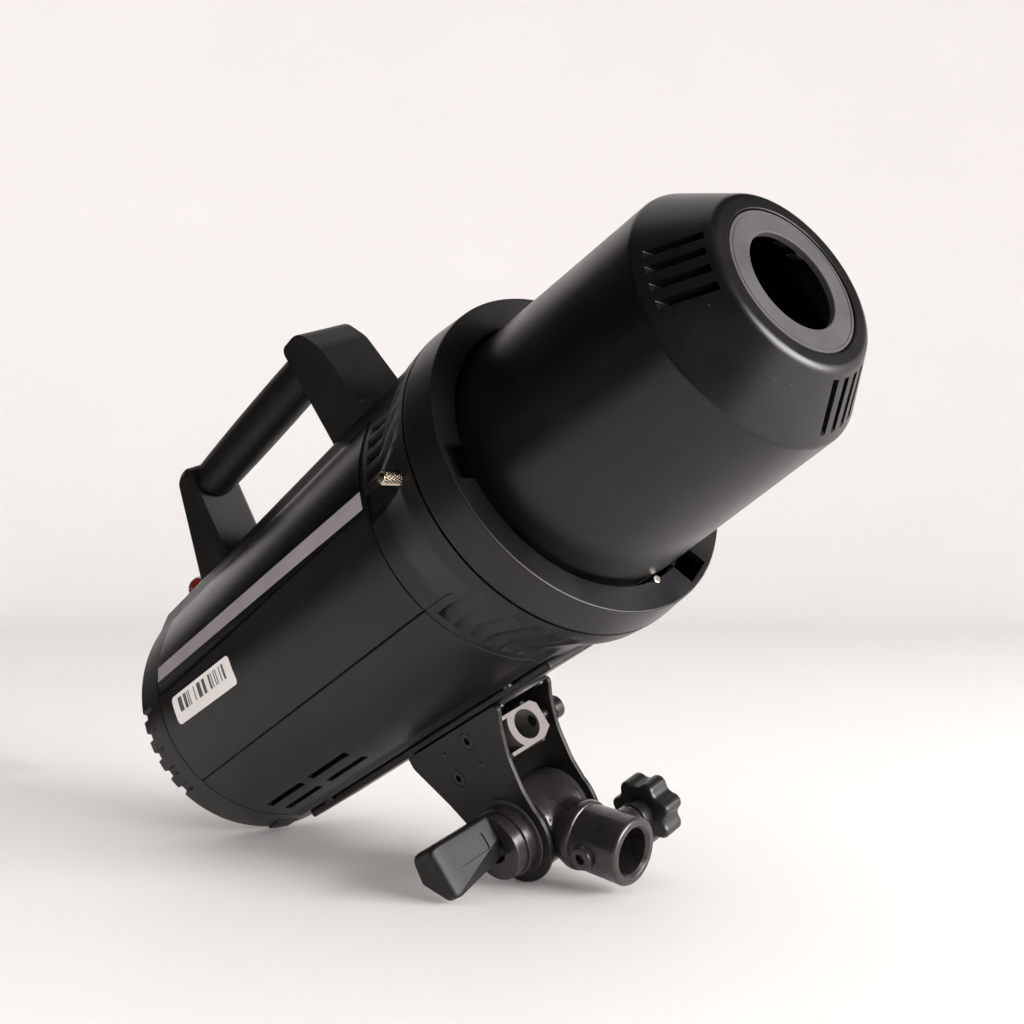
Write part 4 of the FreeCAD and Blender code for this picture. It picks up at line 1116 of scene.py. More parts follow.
# ---- housing ----
@dataclass
class HousingSection:
    """Cross-section of the housing: round sides, a raised spine on top and a flat keel below."""

    round_r: float = 54.0
    spine_half: float = 15.5
    spine_top: float = 58.0
    shoulder: Point = (23.0, 51.8)
    cheek: Point = (42.0, 54.9)
    cheek_low_th: float = 20.0
    keel_half: float = 17.5
    keel_z: float = -52.6
    keel_th: float = -68.0

    def __post_init__(self) -> None:
        """Samples the outline of one side as radius against angle."""
        keel_a = math.radians(self.keel_th)
        corners: list[Corner] = [(0.0, self.spine_top, 0), (self.spine_half, self.spine_top, 1.3),
                                 (*self.shoulder, 1.6)]
        corners += [(y, z, 0) for y, z in self.cheek_points()]
        for k in range(89):
            a = math.radians(self.cheek_low_th - k)
            corners.append((self.round_r * math.cos(a), self.round_r * math.sin(a), 0))
        corners[-1] = (self.round_r * math.cos(keel_a), self.round_r * math.sin(keel_a), 0.6)
        corners += [(self.keel_half, self.keel_z, 0.8), (0.0, self.keel_z, 0)]
        path = rounded(corners, 6)
        dense = []
        for (y0, z0), (y1, z1) in zip(path, path[1:]):
            parts = max(1, math.ceil(math.hypot(y1 - y0, z1 - z0) / 0.4))
            dense += [(y0 + (y1 - y0) * k / parts, z0 + (z1 - z0) * k / parts) for k in range(parts)]
        dense.append(path[-1])
        angles = np.degrees(np.arctan2([p[1] for p in dense], [p[0] for p in dense]))
        order = np.argsort(angles)
        self.angles = angles[order]
        self.radii = np.hypot([p[0] for p in dense], [p[1] for p in dense])[order]

    def cheek_points(self) -> list[Point]:
        """Points of the arc from the shoulder down to the round side."""
        low = math.radians(self.cheek_low_th)
        mid_th, mid_r = self.cheek
        mid = math.radians(mid_th)
        ends = [self.shoulder, (mid_r * math.cos(mid), mid_r * math.sin(mid)),
                (self.round_r * math.cos(low), self.round_r * math.sin(low))]
        (ax, ay), (bx, by), (cx, cy) = ends
        d = 2 * (ax * (by - cy) + bx * (cy - ay) + cx * (ay - by))
        sa, sb, sc = ax * ax + ay * ay, bx * bx + by * by, cx * cx + cy * cy
        ux = (sa * (by - cy) + sb * (cy - ay) + sc * (ay - by)) / d
        uy = (sa * (cx - bx) + sb * (ax - cx) + sc * (bx - ax)) / d
        r = math.hypot(ax - ux, ay - uy)
        start, end = math.atan2(ay - uy, ax - ux), math.atan2(cy - uy, cx - ux)
        return [(ux + r * math.cos(start + (end - start) * k / 24),
                 uy + r * math.sin(start + (end - start) * k / 24))
                for k in range(1, 24)]

    def radius(self, th: float) -> float:
        """Radius of the outline at an angle."""
        t = (th + 180.0) % 360.0 - 180.0
        if t > 90.0:
            t = 180.0 - t
        elif t < -90.0:
            t = -180.0 - t
        return float(np.interp(t, self.angles, self.radii))


@dataclass
class Housing:
    """Casings, rear bezel, rail, feet, side panels and sticker."""

    bench: Bench
    section: HousingSection
    wall: float = 2.5
    edge: float = 0.35
    split_th: float = -20.55
    vent_rows: tuple[float, float] = (-51.5, -60.3)
    vent_runs: tuple[Point, Point] = ((-224.0, -193.2), (-186.4, -155.4))
    vent_wide: float = 2.9
    bezel_round: float = 3.2
    groove_ths: tuple[float, ...] = (20.5, 10.75, 1.0, -8.75, -18.5)
    groove_half: float = 1.9
    groove_deep: float = 1.75
    groove_x: float = -242.5
    panel_proud: float = 0.35
    panel_wide: float = 41.0
    panel_mid: float = 42.5
    stripe_ends: Point = (33.4, 26.2)
    stripe_wide: float = 6.9

    def build(self) -> None:
        """Builds every piece of the housing."""
        self.casings()
        self.bezel()
        self.trim()
        self.rail()
        self.bench.eased_copy("rear_foot_pads", "rear_feet", FEET, 0.3)

    def casings(self) -> None:
        """Upper and lower casings, which meet at the split line."""
        low, high = self.bench.span("upper_shell")
        xs = self.ends(low.x, high.x, 7.0)
        edge = self.edge
        spans = {"upper": (self.split_th + 0.14, 180.0 - self.split_th - 0.14),
                 "lower": (180.0 - self.split_th + 0.14, 360.0 + self.split_th - 0.14)}
        for which, (first, last) in spans.items():
            ths = [first, first + 0.2, first + 0.4] + stations(first + 0.8, last - 0.8, 1.4)
            ths += [last - 0.4, last - 0.2, last]

            def outer(x: float, th: float, first: float = first, last: float = last) -> float:
                """Outer radius with its rims eased."""
                from_rim = min(x - low.x, high.x - x, (th - first) * 0.94, (last - th) * 0.94)
                return self.section.radius(th) - max(0.0, edge - from_rim)

            wall = polar_shell(xs, ths, outer, lambda x, th: self.section.round_r - self.wall, closed=False)
            if which == "lower":
                wall = eased(combined(wall, self.vent_cutters()), 0.3, 2, 50.0, self.is_vent_edge)
            self.bench.piece(f"{which}_casing", wall, SHELL, f"{which}_shell")

    def ends(self, low: float, high: float, step: float) -> list[float]:
        """Places along the beam, with close ones at both rims."""
        rim = self.edge
        return [low, low + rim / 2, low + rim] + stations(low + rim * 3, high - rim * 3, step) + [
            high - rim, high - rim / 2, high]

    def is_vent_edge(self, edge: BMEdge) -> bool:
        """Whether an edge is part of a vent's outer rim."""
        return all(any(x0 - 1 < v.co.x < x1 + 1 for x0, x1 in self.vent_runs)
                   and v.co.z < -38 and v.co.yz.length > self.section.round_r - 0.4 for v in edge.verts)

    def vent_cutters(self) -> list[BMesh]:
        """Cutters for the slots in both flanks of the lower casing."""
        cutters = []
        for th in self.vent_rows:
            for x0, x1 in self.vent_runs:
                for angle in (th, 180.0 - th):
                    middle = spot((x0 + x1) / 2, self.section.round_r, angle)
                    cutters.append(slot_cutter(middle, Vector((1, 0, 0)), spot(0, 1, angle), x1 - x0,
                                               self.vent_wide, 5.0))
        return cutters

    def bezel(self) -> None:
        """Rear bezel with its rounded rim and grip grooves."""
        low, high = self.bench.span("rear_bezel")
        back = low.x
        arc = [self.bezel_round * (1 - math.cos(math.radians(a))) for a in range(0, 90, 10)]
        xs = [back + a for a in arc] + stations(back + self.bezel_round, high.x - 0.7, 1.2, [self.groove_x],
                                                0.35)
        xs += [high.x - self.edge, high.x - self.edge / 2, high.x]
        grooves = [g for th in self.groove_ths for g in (th, 180.0 - th)]
        crisp = [g + s * self.groove_half for g in grooves for s in (-1, 1)]
        ths = stations(-90.0, 270.0, 1.6, crisp, 0.45)[:-1]

        def outer(x: float, th: float) -> float:
            """Outer radius with the rim, the eased front edge and the grooves."""
            t = (th + 180.0) % 360.0 - 180.0
            r = self.section.radius(th) if 0.0 < t < 180.0 else self.section.round_r
            into = self.bezel_round - (x - back)
            if into > 0:
                r -= self.bezel_round - math.sqrt(max(0.0, self.bezel_round ** 2 - into ** 2))
            r -= max(0.0, self.edge - (high.x - x))
            cut = max(between(th, g - self.groove_half, g + self.groove_half, 0.45) for g in grooves)
            return r - cut * self.groove_deep * (1 - step_up(x, self.groove_x, 0.35))

        def inner(x: float, th: float) -> float:
            """Inner radius: a lip at the back holds the control panel."""
            return 47.55 if x < -247.2 else 51.5

        ring = polar_shell(xs, ths, outer, inner, closed=True)
        self.bench.piece("rear_bezel_moulding", ring, SHELL, "rear_bezel")

    def rail(self) -> None:
        """Flat rail under the keel."""
        low, high = self.bench.span("bottom_rail")
        bar = eased(block(low, high), 1.1, 3)
        self.bench.piece("keel_rail", bar, PLATE, "bottom_rail")

    def skin(self, x0: float, x1: float, limits: Callable[[float], Point], low: float, high: float,
             flip: bool) -> BMesh:
        """Thin layer on the housing's side.

        Args:
            x0: Its rear end.
            x1: Its front end.
            limits: Its lowest and highest angle at x.
            low: Height of its underside above the housing.
            high: Height of its face.
            flip: Whether it lies on the far side.

        Returns:
            The closed mesh, with a flat map of its face.
        """
        bm = bmesh.new()
        layer = bm.loops.layers.uv.new("UVMap")
        count = 46
        xs = [x0, x0 + 0.15, x0 + 0.35, x0 + 0.7, x0 + 1.2] + stations(x0 + 2.0, x1 - 2.0, 5.0)
        xs += [x1 - 1.2, x1 - 0.7, x1 - 0.35, x1 - 0.15, x1]
        rows: dict[float, list[list]] = {low: [], high: []}
        flat: dict = {}
        for height, made in rows.items():
            for x in xs:
                first, last = limits(x)
                row = []
                for k in range(count + 1):
                    share = k / count
                    th = first + (last - first) * share
                    rim = min(x - x0, x1 - x, (th - first) * 0.94, (last - th) * 0.94)
                    drop = max(0.0, (high - low) * 0.6 - rim) if height == high else 0.0
                    at = spot(x, self.section.radius(th) + height - drop, 180.0 - th if flip else th)
                    vertex = bm.verts.new(at)
                    flat[vertex] = ((x - x0) / (x1 - x0), share)
                    row.append(vertex)
                made.append(row)
        under, face = rows[low], rows[high]
        for i in range(len(xs) - 1):
            for k in range(count):
                bm.faces.new((face[i][k], face[i + 1][k], face[i + 1][k + 1], face[i][k + 1]))
                bm.faces.new((under[i][k + 1], under[i + 1][k + 1], under[i + 1][k], under[i][k]))
            for k in (0, count):
                bm.faces.new((face[i][k], under[i][k], under[i + 1][k], face[i + 1][k]))
        for i in (0, len(xs) - 1):
            for k in range(count):
                bm.faces.new((face[i][k], face[i][k + 1], under[i][k + 1], under[i][k]))
        bmesh.ops.recalc_face_normals(bm, faces=bm.faces)
        for f in bm.faces:
            for loop in f.loops:
                loop[layer].uv = flat[loop.vert]
        return bm

    def trim(self) -> None:
        """Gloss panel and pale stripe on both sides, and the paper sticker on the near one."""
        low, high = self.bench.span("label_panels")
        x0, x1 = low.x, high.x
        half, proud = self.panel_wide / 2, self.panel_proud

        def stripe_limits(x: float) -> Point:
            """The stripe drifts down towards the front."""
            share = (x - x0) / (x1 - x0)
            middle = self.stripe_ends[0] + (self.stripe_ends[1] - self.stripe_ends[0]) * share
            return middle - self.stripe_wide / 2, middle + self.stripe_wide / 2

        panels = [self.skin(x0, x1, lambda x: (self.panel_mid - half, self.panel_mid + half), 0.0, proud,
                            flip)
                  for flip in (False, True)]
        stripes = [self.skin(x0 + 0.3, x1 - 0.3, stripe_limits, proud, proud + 0.15, flip)
                   for flip in (False, True)]
        self.bench.piece("side_panels", joined(panels), PANEL, "label_panels")
        self.bench.piece("side_stripes", joined(stripes), STRIPE, "label_stripes")
        self.bench.piece("bar_sticker", self.sticker(), STICKER, "paper_sticker")

    def sticker(self) -> BMesh:
        """Paper with rounded corners, set slightly askew."""
        low, high = self.bench.span("paper_sticker")
        x0, x1, corner = low.x, high.x, 2.2
        degree = math.degrees(1.0 / self.section.round_r)

        def limits(x: float) -> Point:
            """Angles of its long edges, drawn in at the rounded corners."""
            share = (x - x0) / (x1 - x0)
            middle = 11.6 + (9.2 - 11.6) * share
            near_end = max(0.0, corner - min(x - x0, x1 - x))
            pull = corner - math.sqrt(max(0.0, corner ** 2 - near_end ** 2))
            half = 6.5 - pull * degree
            return middle - half, middle + half

        return self.skin(x0, x1, limits, 0.0, 0.2, False)


@dataclass
class FrontEnd:
    """Intake shroud, bayonet ring and lock release knob."""

    bench: Bench
    section: HousingSection
    flare: tuple[Corner, ...] = ((-41.0, 54.3, 12.0), (-23.0, 60.3, 9.0))
    ring_r: float = 59.0
    ring_back_r: float = 60.8
    throat_r: float = 49.2
    throat_x: float = -1.7
    channel_r: float = 57.5
    channel_x: float = -12.8
    notch_th: float = -108.0
    notch_wide: float = 14.0
    louvre_deep: float = 2.2
    louvre_wide: float = 5.0
    louvre_step: float = 6.9
    louvre_low: float = -24.2
    louvre_high: float = 34.5
    louvre_x: float = -48.5
    pocket: tuple[float, float, float, float] = (-51.0, -20.8, 15.5, 27.0)
    pocket_r: float = 52.8
    pocket_slope: float = 4.0
    knob_th: float = 18.5
    knob_x: float = -24.0
    knob_span: tuple[float, float, float] = (52.8, 65.85, 1.95)
    intake_fade: Point = (-24.0, 5.0)
    intake_rise: float = 1.2

    def build(self) -> None:
        """Builds the front end."""
        self.shroud()
        self.ring()
        self.release_knob()

    def louvres(self) -> list[float]:
        """Upper edge of each intake, all the way round."""
        near = [self.louvre_low - self.louvre_step * i for i in range(6)]
        near += [self.louvre_high + self.louvre_step * i for i in range(4)]
        return near + [180.0 - (th - self.louvre_wide) for th in near]

    def shroud(self) -> None:
        """Flared shroud with intakes that dive under the ring, a pocket for the knob and the split line."""
        low, high = self.bench.span("front_shroud")
        x0, x1 = low.x + 0.15, high.x
        path = rounded([(low.x, 20, 0), (low.x, 54.0, 0), *self.flare, (x1, 60.7, 0), (x1, 20, 0)], 10)[1:-1]
        flare_x, flare_r = [p[0] for p in path], [p[1] for p in path]
        px0, px1, pth0, pth1 = self.pocket
        edges = self.louvres()
        split = (-20.6, 200.6)
        crisp = [e for th in edges for e in (th, th - self.louvre_wide)]
        crisp += [v for s in split for v in (s - 0.2, s + 0.2)] + [pth0 - 0.4,
                                                                   pth0 - 0.4 + self.pocket_slope, pth1,
                                                               self.knob_th - 2.1, self.knob_th + 2.1]
        base = [(v + 90.0) % 360.0 - 90.0 for v in crisp]
        ths = stations(-90.0, 270.0, 1.5, sorted(base), 0.22)[:-1]
        xs = [x0, x0 + 0.15, x0 + 0.3] + stations(x0 + 0.5, x1 - 0.6, 1.4,
                                                  [px0, self.louvre_x, -33.0, px1, -24.0, -31.2],
                                                 0.2) + [x1 - 0.3, x1]

        def scoop(t: float) -> float:
            """Depth share of the intakes: full at each upper edge, easing to none at the lower one."""
            best = 0.0
            for edge in edges:
                fall = edge - t if t < 90.0 else t - (edge - self.louvre_wide)
                if -0.2 < fall < self.louvre_wide:
                    best = max(best, min(1.0, (fall + 0.2) / 0.4) * (1.0 - max(0.0, fall) / self.louvre_wide))
            return best

        def outer(x: float, th: float) -> float:
            """Outer radius with everything cut into it."""
            t = (th + 90.0) % 360.0 - 90.0
            r = float(np.interp(x, flare_x, flare_r))
            body = self.section.radius(th)
            if x < -24.0 and body > r:
                r = body
            fade_x, fade_run = self.intake_fade
            fade = 1.0 - min(1.0, max(0.0, (x - fade_x) / fade_run))
            rise = min(1.0, max(0.0, (x - self.louvre_x) / self.intake_rise))
            depth = scoop(t) * self.louvre_deep * rise * fade
            for s in split:
                depth = max(depth, 0.5 * between(t, s - 0.2, s + 0.2, 0.1) * (1 - step_up(x, -33.0, 0.2)))
            r -= depth
            inside = between(x, px0, px1, 0.2) * (1 - step_up(t, pth1, 0.22))
            lower = min(1.0, max(0.0, (t - pth0 + 0.4) / self.pocket_slope))
            r -= (r - self.pocket_r) * inside * lower if pth0 - 0.5 < t < pth1 + 0.4 else 0.0
            well = between(x, -31.2, -21.8, 0.2) * between(t, self.knob_th - 2.1, self.knob_th + 2.1, 0.22)
            r -= well * 1.2
            return r - max(0.0, 0.3 - (x - x0)) * 0.9

        inner_path = ((-52.2, 51.3), (-44.0, 51.3), (-24.0, 57.4), (-14.0, 58.2))

        def inner(x: float, th: float) -> float:
            """Inner radius, never outside the skin."""
            plain = float(np.interp(x, [p[0] for p in inner_path], [p[1] for p in inner_path]))
            return min(plain, outer(x, th) - 0.4)

        wall = polar_shell(xs, ths, outer, inner, True)
        self.bench.piece("intake_shroud", wall, SHROUD, "front_shroud", sharp=40.0)

    def ring(self) -> None:
        """Bayonet ring: pebbled front lip, channel, three entry notches and the lock pin's hole."""
        low, _ = self.bench.span("mount_ring")
        back = low.x
        bare = turned([(back, 51.5, 0.3), (back, self.ring_back_r, 1.2), (0.0, self.ring_r, 0.55),
                       (self.throat_x, self.throat_r, 0.4), (self.throat_x - 2.0, self.throat_r, 0.2),
                       (self.throat_x - 2.0, self.channel_r, 0), (self.channel_x, self.channel_r, 0),
                       (self.channel_x, 51.5, 0.2)], BEAM, 256, 5)
        cutters = []
        for i in range(3):
            th = self.notch_th + 120.0 * i
            out, across = spot(0, 1, th), spot(0, 1, th + 90.0)
            half = math.radians(self.notch_wide / 2) * self.throat_r
            corners = [(46.0, -half), (56.9, -half), (56.9, half), (46.0, half)]
            cutters.append(prism(corners, lambda a,
                                 b: Vector((self.throat_x - 3.0, 0, 0)) + out * a + across * b,
                                 Vector((4.8, 0, 0))))
        cutters.append(rod(Axis(spot(0, 49.4, -88.0), Vector((1, 0, 0))), -8.0, 1.0, 1.8))
        cut = combined(bare, cutters)
        cut = eased(cut, 0.3, 2, 50.0, lambda e: all(v.co.x > self.throat_x - 0.5 for v in e.verts)
                    and any(v.co.yz.length < 57.2 for v in e.verts))
        for face in cut.faces:
            middle = face.calc_center_median()
            facing = face.normal.x > 0.55 and middle.x > self.throat_x - 0.4
            face.material_index = int(facing and middle.yz.length < self.ring_r - 0.55)
        self.bench.piece("bayonet_ring", cut, (RING, RING_LIP), "mount_ring")

    def release_knob(self) -> None:
        """Knurled knob that pulls the lock pin back."""
        out = spot(0, 1, self.knob_th)
        inner_r, outer_r, r = self.knob_span
        axis = Axis(Vector((self.knob_x, 0, 0)), out)
        stem = turned([(inner_r, 0, 0), (inner_r, r, 0.2), (outer_r, r, 0.45), (outer_r, 0, 0)], axis, 40)
        start = Axis(axis.start + out * (inner_r + 0.5), out)
        sizes = {"Radius": r, "Length": outer_r - inner_r - 1.2, "Tooth Across": 0.78, "Tooth Along": 0.78,
                 "Tooth High": 0.46}
        knurl = self.bench.ridges.make(start, 16, 15, sizes, NICKEL)
        self.bench.piece("release_knob_knurled", joined([stem, knurl]), NICKEL, "release_knob", sharp=25.0)


@dataclass
class Handle:
    """Two legs and the sleeve between them."""

    bench: Bench
    half: float = 12.0
    chamfer: float = 2.2
    grip_z: float = 92.5
    grip_r: float = 8.6
    fullness: float = 0.6
    recess: tuple[float, float] = (-62.5, 5.0)

    def build(self) -> None:
        """Builds the legs and the sleeve."""
        foot = self.bench.span("handle_front_post")[0].z
        front = side_plate([(-94.2, foot, 0), (-92.6, 101.3, 3), (-79.5, 101.3, 8), (-73.2, 90, 14),
                            (-69.6, 63.0, 2),
                            (-56.0, 60.4, 0.6), (-55.5, foot, 0)], -self.half, self.half)
        rear = side_plate([(-194.5, foot, 0), (-187.0, 101.3, 3), (-198.0, 101.3, 7), (-222.0, foot, 0)],
                          -self.half, self.half)
        x, r = self.recess
        well = rod(Axis(Vector((x, 0, foot)), Vector((0, 0, 1))), 0.9, 30.0, r)
        self.leg("handle_front_leg", "handle_front_post", front, [well])
        self.leg("handle_rear_leg", "handle_rear_post", rear, [])
        self.sleeve()

    def leg(self, name: str, node: str, plate: BMesh, wells: list[BMesh]) -> None:
        """Chamfers a leg along its sides and cuts what is let into it.

        Args:
            name: The piece's name.
            node: The node that it stands for.
            plate: Its plain shape.
            wells: Cutters.
        """
        def is_side(edge: BMEdge) -> bool:
            """Whether an edge lies in one of the leg's flat sides, above its foot."""
            a, b = edge.verts
            flat = abs(abs(a.co.y) - self.half) < 0.01 and abs(a.co.y - b.co.y) < 0.01
            return flat and max(a.co.z, b.co.z) > 66.0

        bmesh.ops.bevel(plate, geom=[e for e in plate.edges if is_side(e)], offset=self.chamfer,
                        offset_type="OFFSET", segments=1, affect="EDGES", clamp_overlap=True)
        axis = Axis(Vector((-188.3, 0, self.grip_z)), Vector((1, 0, 0)))
        socket = rod(axis, 0.0, 95.2, self.grip_r + 0.3, 64)
        shaped = combined(plate, [socket] + wells)
        self.bench.piece(name, eased(shaped, 0.35, 2, 24.0), HANDLE, node)

    def sleeve(self) -> None:
        """Rubber sleeve, a little fuller at its middle."""
        low, high = self.bench.span("handle_grip")
        sleeve = self.bench.sleeves.make(high.x - low.x, self.grip_r, self.fullness, GRIP)
        sleeve.transform(Matrix.Translation((low.x, 0, self.grip_z)))
        self.bench.piece("grip_sleeve", sleeve, GRIP, "handle_grip", weighted=False)


@dataclass
class SpotCap:
    """Protective cap: tapered tube, slotted nose and grey insert."""

    bench: Bench
    back_r: float = 47.6
    shoulder: Point = (78.4, 43.6)
    nose: Point = (97.4, 29.4)
    wall: float = 2.4
    insert_r: float = 23.8
    hole_r: float = 16.2
    slot_groups: tuple[float, ...] = (26.0, -94.0, 146.0)
    slot_pitch: float = 5.6
    slot_wide: float = 2.6
    slot_run: Point = (81.4, 95.0)

    def build(self) -> None:
        """Builds the cap."""
        sx, sr = self.shoulder
        nx, nr = self.nose
        seat = self.insert_r + 0.5
        back = self.bench.span("cap_shell")[0].x
        bare = turned([(back, self.back_r - self.wall - 1.4, 0.3), (back, self.back_r, 0.5), (sx, sr, 3.0),
                       (nx, nr, 3.6), (nx, seat, 0.35), (nx - 2.2, seat, 0), (nx - 2.2, self.insert_r - 2, 0),
                       (nx - 4.0, self.insert_r - 2, 0), (nx - 4.0, nr - self.wall - 1.2, 1.0),
                       (sx - 1.2, sr - self.wall - 0.6, 2.0)], BEAM, 224, 7)
        shell = combined(bare, self.slots())
        shell = eased(shell, 0.22, 2, 45.0, self.is_slot_edge)
        self.bench.piece("cap_tube", shell, CAP, "cap_shell", sharp=30.0)
        disc = turned([(nx - 2.2, self.hole_r, 0), (nx - 2.2, self.insert_r, 0),
                       (nx - 0.25, self.insert_r, 0.25),
                       (nx - 0.25, self.insert_r - 0.9, 0), (nx - 0.45, self.insert_r - 1.05, 0),
                       (nx - 0.45, self.insert_r - 1.25, 0), (nx - 0.25, self.insert_r - 1.4, 0),
                       (nx - 0.25, self.hole_r, 0.4)], BEAM, 160, 4)
        self.bench.piece("cap_nose_disc", disc, INSERT, "cap_insert", sharp=25.0)

    def is_slot_edge(self, edge: BMEdge) -> bool:
        """Whether an edge is the outer rim of a slot."""
        x0, x1 = self.slot_run
        (sx, sr), (nx, nr) = self.shoulder, self.nose

        def outside(place: Vector) -> bool:
            """Whether a point lies on the cone's outer face."""
            cone = sr + (nr - sr) * (place.x - sx) / (nx - sx)
            return x0 - 0.5 < place.x < x1 + 0.8 and abs(place.yz.length - cone) < 0.35

        return all(outside(v.co) for v in edge.verts)

    def slots(self) -> list[BMesh]:
        """Cutters for the three groups of parallel slots."""
        x0, x1 = self.slot_run
        cutters = []
        for group in self.slot_groups:
            out, across = spot(0, 1, group), spot(0, 1, group + 90.0)
            for k in (-1.5, -0.5, 0.5, 1.5):
                middle = Vector(((x0 + x1) / 2, 0, 0)) + out * 35.0 + across * (self.slot_pitch * k)
                cutters.append(slot_cutter(middle, Vector((1, 0, 0)), out, x1 - x0, self.slot_wide, 15.0,
                                            0.06))
        return cutters


@dataclass
class TiltBracket:
    """Plates, saddle, umbrella holder, washers and bolt."""

    bench: Bench
    plate_y: float = 15.5
    thick: float = 2.0
    pivot: Point = (-115.5, -101.0)
    foot_r: float = 18.5
    screws: tuple[Point, ...] = ((-110.6, -62.4), (-125.9, -72.8))
    rivets: tuple[Point, ...] = ((-125.8, -62.8), (-109.8, -72.6))
    saddle_spots: tuple[Point, ...] = ((-88.8, 11.4), (-141.5, 9.0))
    saddle_z: float = -57.6

    def build(self) -> None:
        """Builds the bracket."""
        for side, node in ((Side.NEAR, "near_plate"), (Side.FAR, "far_plate")):
            self.bench.piece(f"bracket_{node}", self.plate(side), PLATE, node)
        self.bench.eased_copy("bracket_saddle_bend", "bracket_saddle", PLATE, 0.35)
        self.bench.eased_copy("umbrella_holder", "umbrella_block", BRIGHT, 0.18)
        self.bench.eased_copy("umbrella_clamp_screw", "umbrella_screw", BLACK_STEEL, 0.25)
        self.bench.eased_copy("pivot_through_bolt", "pivot_bolt", BLACK_STEEL, 0.3)
        self.bench.eased_copy("pivot_washers", "friction_washers", FIBRE, 0.2)
        self.fixings()

    def plate(self, side: Side) -> BMesh:
        """One plate, with its screw seats.

        Args:
            side: Which plate.

        Returns:
            The plate.
        """
        px, pz = self.pivot
        top = [(-84.3, -56.2, 2), (-90.0, -64.0, 30), (-95.0, -75.0, 30), (-97.6, -88.0, 20)]
        turn = [(px + self.foot_r * math.cos(math.radians(a)), pz + self.foot_r * math.sin(math.radians(a)),
                 0)
                for a in range(14, -198, -6)]
        rest = [(-139.0, -80.0, 25), (-147.6, -61.0, 5), (-147.4, -56.2, 1)]
        y0, y1 = -self.plate_y, -self.plate_y + self.thick
        plate = side_plate(top + turn + rest, y0, y1)
        cutters = [turned([(-0.2, 0, 0), (-0.2, 3.5, 0), (1.2, 2.2, 0), (4.0, 2.2, 0), (4.0, 0, 0)],
                          Axis(Vector((x, y0, z)), Vector((0, 1, 0))), 40) for x, z in self.screws]
        cutters.append(rod(Axis(Vector((px, y0, pz)), Vector((0, 1, 0))), -1.0, 4.0, 4.0))
        plate = eased(combined(plate, cutters), 0.4, 3, 40.0)
        if side is Side.FAR:
            plate.transform(Matrix.Scale(-1, 4, Vector((0, 1, 0))))
            bmesh.ops.recalc_face_normals(plate, faces=plate.faces)
        return plate

    def fixings(self) -> None:
        """Countersunk screws, rivets and the saddle's silver screws, each set from one shape."""
        up = Axis(Vector((0, 0, 0)), Vector((0, 0, 1)))
        head = turned([(-2.0, 0, 0), (-2.0, 2.1, 0), (-1.3, 2.15, 0), (-0.1, 3.15, 0.1), (-0.1, 0, 0)], up,
                      40)
        head = eased(combined(head, [hexagon(up, -1.5, 1.0, 1.5)]), 0.08, 1, 40.0)
        rivet = turned([(0, 0, 0), (0, 1.4, 0), (0.5, 1.2, 0.3), (0.5, 0, 0)], up, 28)
        spots, pins = [], []
        for side in Side:
            out, y = Vector((0, side.value, 0)), self.plate_y * side.value
            spots += [(Vector((x, y, z)), out) for x, z in self.screws]
            pins += [(Vector((x, y, z)), out) for x, z in self.rivets]
        place = self.bench.fasteners.place
        parts = [place(head, spots, BLACK_STEEL), place(rivet, pins, BLACK_STEEL), self.saddle_screws()]
        whole = joined(parts)
        for face in whole.faces:
            middle = face.calc_center_median()
            face.material_index = int(middle.z > -59.0 and abs(middle.y) < 13.4)
        self.bench.piece("bracket_fixings", whole, (BLACK_STEEL, NICKEL), "bracket_screws")

    def saddle_screws(self) -> BMesh:
        """Domed screws under the saddle."""
        up = Axis(Vector((0, 0, 0)), Vector((0, 0, 1)))
        dome = turned([(0, 0, 0), (0, 1.9, 0), (0.5, 1.8, 0.2), (0.9, 1.1, 0.3), (0.9, 0, 0)], up, 32)
        spots = [(Vector((x, s * y, self.saddle_z)), Vector((0, 0, -1))) for x,
                 y in self.saddle_spots for s in (-1, 1)]
        return self.bench.fasteners.place(dome, spots, NICKEL)


